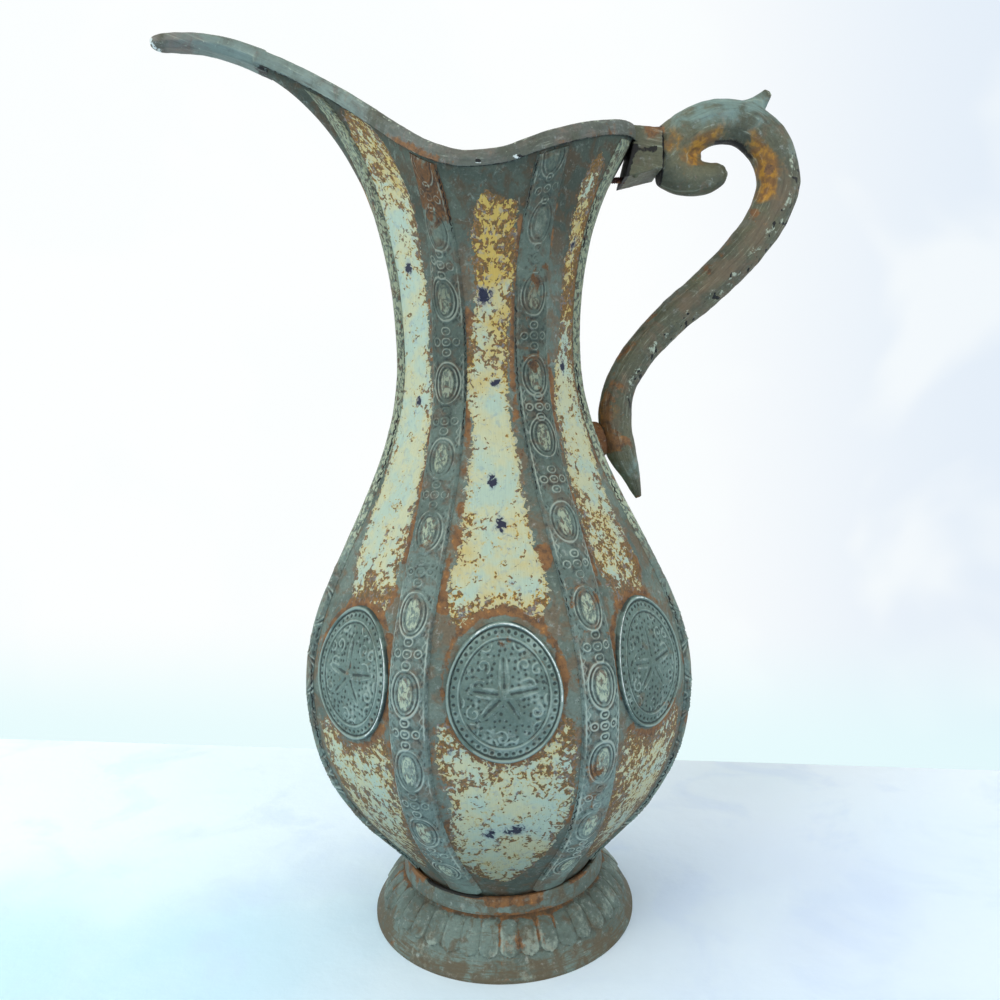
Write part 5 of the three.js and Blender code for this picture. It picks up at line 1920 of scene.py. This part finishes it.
        # painted shade: the shoe's face beside the neck is painted near black
        neck_face = 1 - smooth(x - foot_x - (z - foot_z) * 0.25, 0.5, 3.2)
        crack = 0.95 * neck_face * (z < foot_z + 20) + 0.75 * ridge(z - foot_z - 17.5, 2.2) * (x < 82)
        crack = crack + 0.8 * smooth(x, 83.2, 84.4) * (0.7 + 0.6 * cloud(points, 5, 113)) * (z < top - 6)
        corner = ridge(np.hypot(x - 80.5, z - top + 3), 4.2)
        write_values(shoe, {"teal": np.full(len(points), 0.12), "ochre": 0.5 * corner,
                            "brown": 0.35 + 0.3 * cloud(points, 8, 114),
                            "rust": np.clip(0.1 + 0.85 * corner, 0, 1),
                            "wear": 0.35 * ridge(x - foot_x - 1.5, 1.2), "crack": np.clip(crack, 0, 1),
                            "lane": z + 0.2 * x, "run": x})
        shade(shoe, 60)
        finish_piece(shoe, "handle_shoe", "handle_casting", finishes.casting)

    def build_screw(self, finishes: Finishes) -> None:
        """Model the threaded screw with its round head."""
        low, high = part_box("handle_screw")
        start, end = low.x / MM, min(high.x / MM, 69.0)
        axis = (low.z + high.z) / 2 / MM + 3.4
        head = np.array([[0, 0], [0, 1.2], [0, 2.6], [0.35, 3.3], [1.4, 3.35], [2.0, 3.1], [2.0, 1.5]])

        def place(across: Array, along: Array) -> Surface:
            """Points round the screw."""
            cells = 160
            row = np.rint(along * cells).astype(int)
            shank = 2 + (row - 6) / (cells - 6) * (end - start - 2)
            run = np.where(row < 7, head[np.minimum(row, 6), 0], shank)
            turn = across * 2 * math.pi
            thread = 0.36 * (np.abs(((run / 1.1 + across) % 1) * 2 - 1) - 0.5)
            taper = 1 - smooth(row, cells - 4, cells)
            radius = np.where(row < 7, head[np.minimum(row, 6), 1], (1.42 + thread) * taper)
            points = np.stack([start + run, radius * np.sin(turn), axis + radius * np.cos(turn)], axis=-1)
            points[:, -1] = points[:, 0]
            return Surface(points, {}, np.stack([across, along], axis=-1))
        screw = formed("neck_screw", 24, 160, place)
        edit(screw, close_ends=True, turn_out=True)
        shade(screw, 40)
        finish_piece(screw, "handle_screw", "rusted_iron", finishes.screw)

    def build_boss(self, frame: dict, finishes: Finishes) -> None:
        """Model the lump of solder from a copy of its CAD solid, melted and pitted."""
        source = frame["nodes"]["handle_boss"]
        only(source)
        bpy.ops.object.duplicate()
        boss = named("solder_boss")
        for key in [key for key in boss.keys() if key.startswith("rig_")]:
            del boss[key]
        bpy.ops.object.parent_clear(type="CLEAR_KEEP_TRANSFORM")
        edit(boss, turn_out=False)
        blend_solid(boss, 0.5, 4)
        points, normals = vertices(boss), vertex_normals(boss)
        points = points + normals * (0.35 * cloud(points, 4, 121) + 0.18 * cloud(points, 1.8, 122))[:, None]
        move_vertices(boss, points)
        shade(boss, 60)
        finish_piece(boss, "handle_boss", "rusted_iron", finishes.rust)

    def build(self, frame: dict, finishes: Finishes) -> None:
        """Model and dress the whole handle side."""
        self.build_casting(finishes)
        self.build_shoe(finishes)
        self.build_screw(finishes)
        self.build_boss(frame, finishes)


@dataclass
class Studio:
    """Pale cloth floor, pale wall, soft daylight from the left and the photograph's camera."""

    wall_distance: float = 0.178
    wall_turn: float = -10.5
    camera_back: float = 396.835
    camera_height: float = 246.739
    camera_side: float = 3.695
    look_down: float = 5.514
    roll: float = -1.688
    jug_turn: float = 2.062
    lens: float = 28.8

    def build(self) -> None:
        """Set up stage, lamps and camera."""
        self.floor()
        self.wall()
        self.lights()
        self.camera()

    def floor(self) -> None:
        """Soft bluish cloth under the jug."""
        bpy.ops.object.select_all(action="DESELECT")
        bpy.ops.mesh.primitive_plane_add(size=9, location=(0, 0, 0))
        floor = named("cloth_floor")
        material, tree, shader = new_material("pale cloth", 1.0, specular=0.0)
        place = tree.place()
        soft = tree.noise(place, 6, 4, 0.5)
        along = tree.node("SeparateXYZ", {"Vector": place})
        right = tree.over(srgb(204, 233, 242), srgb(223, 232, 246), along.outputs[0], -0.22, 0.2)
        # painted light: the floor behind the jug is made paler, which lifts the jug's shadow there
        right = tree.over(right, srgb(243, 249, 253), along.outputs[1], -0.03, 0.1, 0.9)
        colour = tree.over(right, srgb(176, 212, 252), along.outputs[1], -0.05, -0.24)
        colour = tree.over(colour, srgb(238, 248, 252), soft, 0.4, 0.65, 0.5)
        shade_noise = tree.step(tree.noise(place, 17, 4, 0.55, 0.5), 0.5, 0.68)
        colour = tree.mix(tree.times(shade_noise, 0.28), colour, srgb(206, 220, 244))
        Finish().end(tree, shader, colour, tree.noise(place, 38, 5, 0.55), 0.25, 4)
        floor.data.materials.append(material)

    def wall(self) -> None:
        """White wall behind the jug, seen from the front only."""
        bpy.ops.object.select_all(action="DESELECT")
        bpy.ops.mesh.primitive_plane_add(size=8, location=(0, 0, 0), rotation=(math.pi / 2, 0, 0))
        wall = named("white_wall")
        bpy.ops.object.transform_apply(rotation=True)
        shift = Matrix.Translation((0, self.wall_distance, 4.0))
        wall.data.transform(Matrix.Rotation(math.radians(self.wall_turn), 4, "Z") @ shift)
        material, tree, shader = new_material("white wall", 1.0, specular=0.5)
        shader.inputs["Base Color"].default_value = (0.9, 0.95, 0.97, 1)
        place = tree.place()
        along = tree.node("SeparateXYZ", {"Vector": place})
        tint = tree.over((0.985, 1.0, 1.0, 1), (0.78, 0.86, 0.95, 1), along.outputs[0], 0.08, 0.36)
        cloudy = tree.times(tree.step(tree.noise(place, 6.5, 3, 0.5, 0.4), 0.46, 0.6), 0.6)
        tint = tree.mix(cloudy, tint, (0.96, 0.995, 1.0, 1))
        tint = tree.over(tint, (0.77, 0.97, 0.985, 1), along.outputs[2], 0.11, 0.0, 0.8)
        glow = tree.node("Emission", {"Color": tint, "Strength": 1.0})
        seen = self.seen_directly(tree)
        front = tree.node("MixShader", {0: seen, 1: shader.outputs[0], 2: glow.outputs[0]})
        clear = tree.node("BsdfTransparent")
        facing = tree.node("NewGeometry").outputs["Backfacing"]
        both = tree.node("MixShader", {0: facing, 1: front.outputs[0], 2: clear.outputs[0]})
        tree.link(both.outputs[0], material.node_tree.nodes["Material Output"], "Surface")
        wall.data.materials.append(material)

    def seen_directly(self, tree: Tree) -> Socket:
        """1 where the camera, a reflection or a clear piece looks at the surface."""
        path = tree.node("LightPath").outputs
        either = tree.math("MAXIMUM", path["Is Camera Ray"], path["Is Glossy Ray"])
        return tree.math("MAXIMUM", either, path["Is Transmission Ray"])

    def lights(self) -> None:
        """A big soft window on the left, a weak fill on the right and a pale sky."""
        for name, place, size, power, colour in (
                ("window", (-1.5, -0.95, 1.2), 1.7, 26.0, (0.97, 0.995, 1.0)),
                ("fill", (1.3, -1.2, 0.8), 1.4, 12.0, (1.0, 0.975, 0.935))):
            lamp = bpy.data.lights.new(name, "AREA")
            lamp.shape = "SQUARE"
            lamp.size = size
            lamp.energy = power
            lamp.color = colour
            holder = bpy.data.objects.new(name, lamp)
            bpy.context.collection.objects.link(holder)
            holder.location = place
            holder.rotation_mode = "QUATERNION"
            holder.rotation_quaternion = (Vector((0, 0, 0.22)) - Vector(place)).to_track_quat("-Z", "Y")
        world = bpy.data.worlds.new("pale sky")
        bpy.context.scene.world = world
        world.use_nodes = True
        tree = Tree(world.node_tree)
        seen = self.seen_directly(tree)
        sky = world.node_tree.nodes["Background"]
        sky.inputs["Color"].default_value = (0.93, 0.975, 1.0, 1)
        sky.inputs["Strength"].default_value = 0.66
        white = tree.node("Background", {"Color": (0.955, 0.985, 0.995, 1), "Strength": 1.0})
        both = tree.node("MixShader", {0: seen, 1: sky.outputs[0], 2: white.outputs[0]})
        tree.link(both.outputs[0], world.node_tree.nodes["World Output"], "Surface")

    def camera(self) -> None:
        """The photograph's viewpoint, in the jug's own frame."""
        turn = Matrix.Rotation(math.radians(-self.jug_turn), 3, "Z")
        down = math.radians(self.look_down)
        place = turn @ Vector((self.camera_side, -self.camera_back, self.camera_height)) * MM
        forward = turn @ Vector((0, math.cos(down), -math.sin(down)))
        up = turn @ Vector((0, math.sin(down), math.cos(down)))
        right = turn @ Vector((1, 0, 0))
        c, s = math.cos(math.radians(self.roll)), math.sin(math.radians(self.roll))
        axes = Matrix((right * c + up * s, up * c - right * s, -forward)).transposed()
        data = bpy.data.cameras.new("camera")
        data.lens = self.lens
        data.sensor_width = 36
        data.clip_start = 0.01
        holder = bpy.data.objects.new("camera", data)
        bpy.context.collection.objects.link(holder)
        holder.matrix_world = Matrix.Translation(place) @ axes.to_4x4()
        bpy.context.scene.camera = holder


def paint_plans() -> dict[str, Paint]:
    """Where each panel's paint survives. The three in front follow the photograph."""
    front = Paint(
        stations=((12, 2, -2, 0.85), (19, -12, 5.7, 0.8), (37, -24.5, 15, 0.52), (54, -23.7, 21.4, 0.36),
                  (78, -22.8, 27.6, 0.38), (97, -27.8, 29.3, 0.56), (112, -26, 28, 0.85),
                  (118, -6, 6, 1.0), (146, -8, 8, 1.0), (152, -20, 15, 0.8), (159, -22, 20, 0.5),
                  (172, -20.4, 18.6, 0.24), (194, -14.5, 13.8, 0.1), (217, -10.7, 11.5, 0.08),
                  (238, -9.1, 8.1, 0.14), (249, -11.5, 6.9, 0.24), (271, -10.3, 7.7, 0.6),
                  (286, -6.7, 9.1, 0.4), (298, -7.2, 11.8, 0.5), (308, -8, 12, 0.7),
                  (318, -8.7, 12.3, 0.85), (327, -6.9, 14, 0.85), (331, -6, 8, 0.8), (337, -3.5, 0.5, 1),
                  (341, -1, -4, 1)),
        navy=((294, -2.2, 4.4, 4.2), (256.7, 1.5, 2.2, 3.0), (212.2, -1.5, 3.6, 2.6), (192.8, 1.1, 4.4, 2.8),
              (57.1, -7.5, 3, 2.8), (59.6, 2.8, 3.8, 6)),
        rust=((178, 18, 5), (186, -15, 4), (200, -13.5, 3), (270, -10.5, 4), (282, -8, 3.5), (160, -23, 4),
              (326, 3, 4)),
        warmth=((0, 0.5), (60, 0.3), (110, 0.55), (150, 0.8), (185, 0.75), (215, 0.5), (245, 0.7), (275, 0.9),
                (296, 0.9), (308, 1.2), (320, 1.5)))
    flank = Paint(
        stations=((10, 3, -3, 0.8), (24, -12, 8, 0.8), (40, -17, 14, 0.65), (62, -22, 20, 0.62),
                  (84, -25, 22, 0.62), (100, -26, 22, 0.75), (108, -14, 18, 1), (118, -4, 4, 1),
                  (150, -4, 4, 1), (156, -8, 14, 0.95), (166, -12, 16, 0.7), (176, -15, 14, 0.3),
                  (200, -16, 11, 0.1), (233, -13.6, 9.5, 0.06), (251, -16, 6.6, 0.08),
                  (285, -20, 5, 0.15), (324, -26, 3, 0.3), (340, -28, 4.5, 0.55), (362, -28, 2, 0.75),
                  (380, -26, -1, 0.85), (392, -20, -8, 0.9)),
        navy=((310, -6, 4, 3), (251, -0.8, 3, 2.2)), rust=((290, -9, 4), (162, 12, 5), (160, 2, 5)),
        warmth=((0, 0.3), (150, 0.6), (185, 0.4), (330, 0.3), (350, 0.9)))
    right = Paint(
        stations=((10, 3, -3, 0.8), (24, -8, 10, 0.9), (40, -14, 17, 0.75), (62, -20, 22, 0.7),
                  (84, -22, 24, 0.75), (100, -20, 24, 0.9), (110, -8, 12, 1), (118, -4, 4, 1),
                  (150, -4, 4, 1), (158, -12, 10, 1.0), (170, -16, 14, 0.85), (200, -12.5, 11, 0.6),
                  (235, -6.4, 13, 0.25), (250, -4.8, 11.5, 0.35), (277, 0.4, 12, 0.7),
                  (294, 1.4, 14, 1.0), (307, 1, 13, 0.8), (322, 4, 15, 0.55), (334, 3, 15, 0.8),
                  (344, 2, 15, 1.0), (354, 4, 14, 1.1), (362, 10, 6, 1)),
        navy=((318, 7, 3, 2.2), (265, 3, 4, 1.8)), rust=((290, 9, 6), (300, 12, 6), (170, 8, 6)),
        warmth=((0, 0.4), (150, 0.7), (240, 0.5), (290, 0.9), (330, 0.8)))
    back = Paint(stations=front.stations, navy=((240, 3, 4, 3), (50, 8, 4, 6)),
                 rust=((200, 12, 6), (120, -26, 6)))
    plain = Paint(
        stations=((0, 3, -3, 0.8), (14, -12, 12, 0.8), (40, -24, 24, 0.6), (84, -28, 28, 0.8),
                  (112, -6, 6, 1), (158, -8, 8, 1), (166, -22, 22, 0.7), (200, -17, 17, 0.4),
                  (240, -11, 11, 0.4), (285, -9, 9, 0.5), (330, -9, 9, 0.9), (352, -6, 6, 1.0),
                  (366, 3, -3, 1)),
        navy=((210, -4, 4, 4),), rust=((280, 6, 6),))
    return {"front": front, "spout_front": flank, "handle_front": right, "back": back, "spout_back": flank,
            "handle_back": right, "spout": plain, "handle": plain}


def dress_bottom(frame: dict, finishes: Finishes) -> None:
    """Give the disc inside the foot its rust."""
    disc = frame["nodes"]["body_bottom"]
    for slot in disc.material_slots:
        slot.material = finishes.rust
    log.info("body_bottom: dressed")


def main() -> None:
    """Build the jug piece by piece, then the studio round it."""
    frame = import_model()
    bpy.context.scene.view_settings.view_transform = "Standard"
    finishes = Finishes()
    Panels(plans=paint_plans()).build(finishes)
    CoverStrips().build(finishes)
    Medallions().build(finishes)
    Foot().build(finishes)
    RimTrim().build(finishes)
    ScrollHandle().build(frame, finishes)
    dress_bottom(frame, finishes)
    Studio().build()


if __name__ == "__main__":
    main()
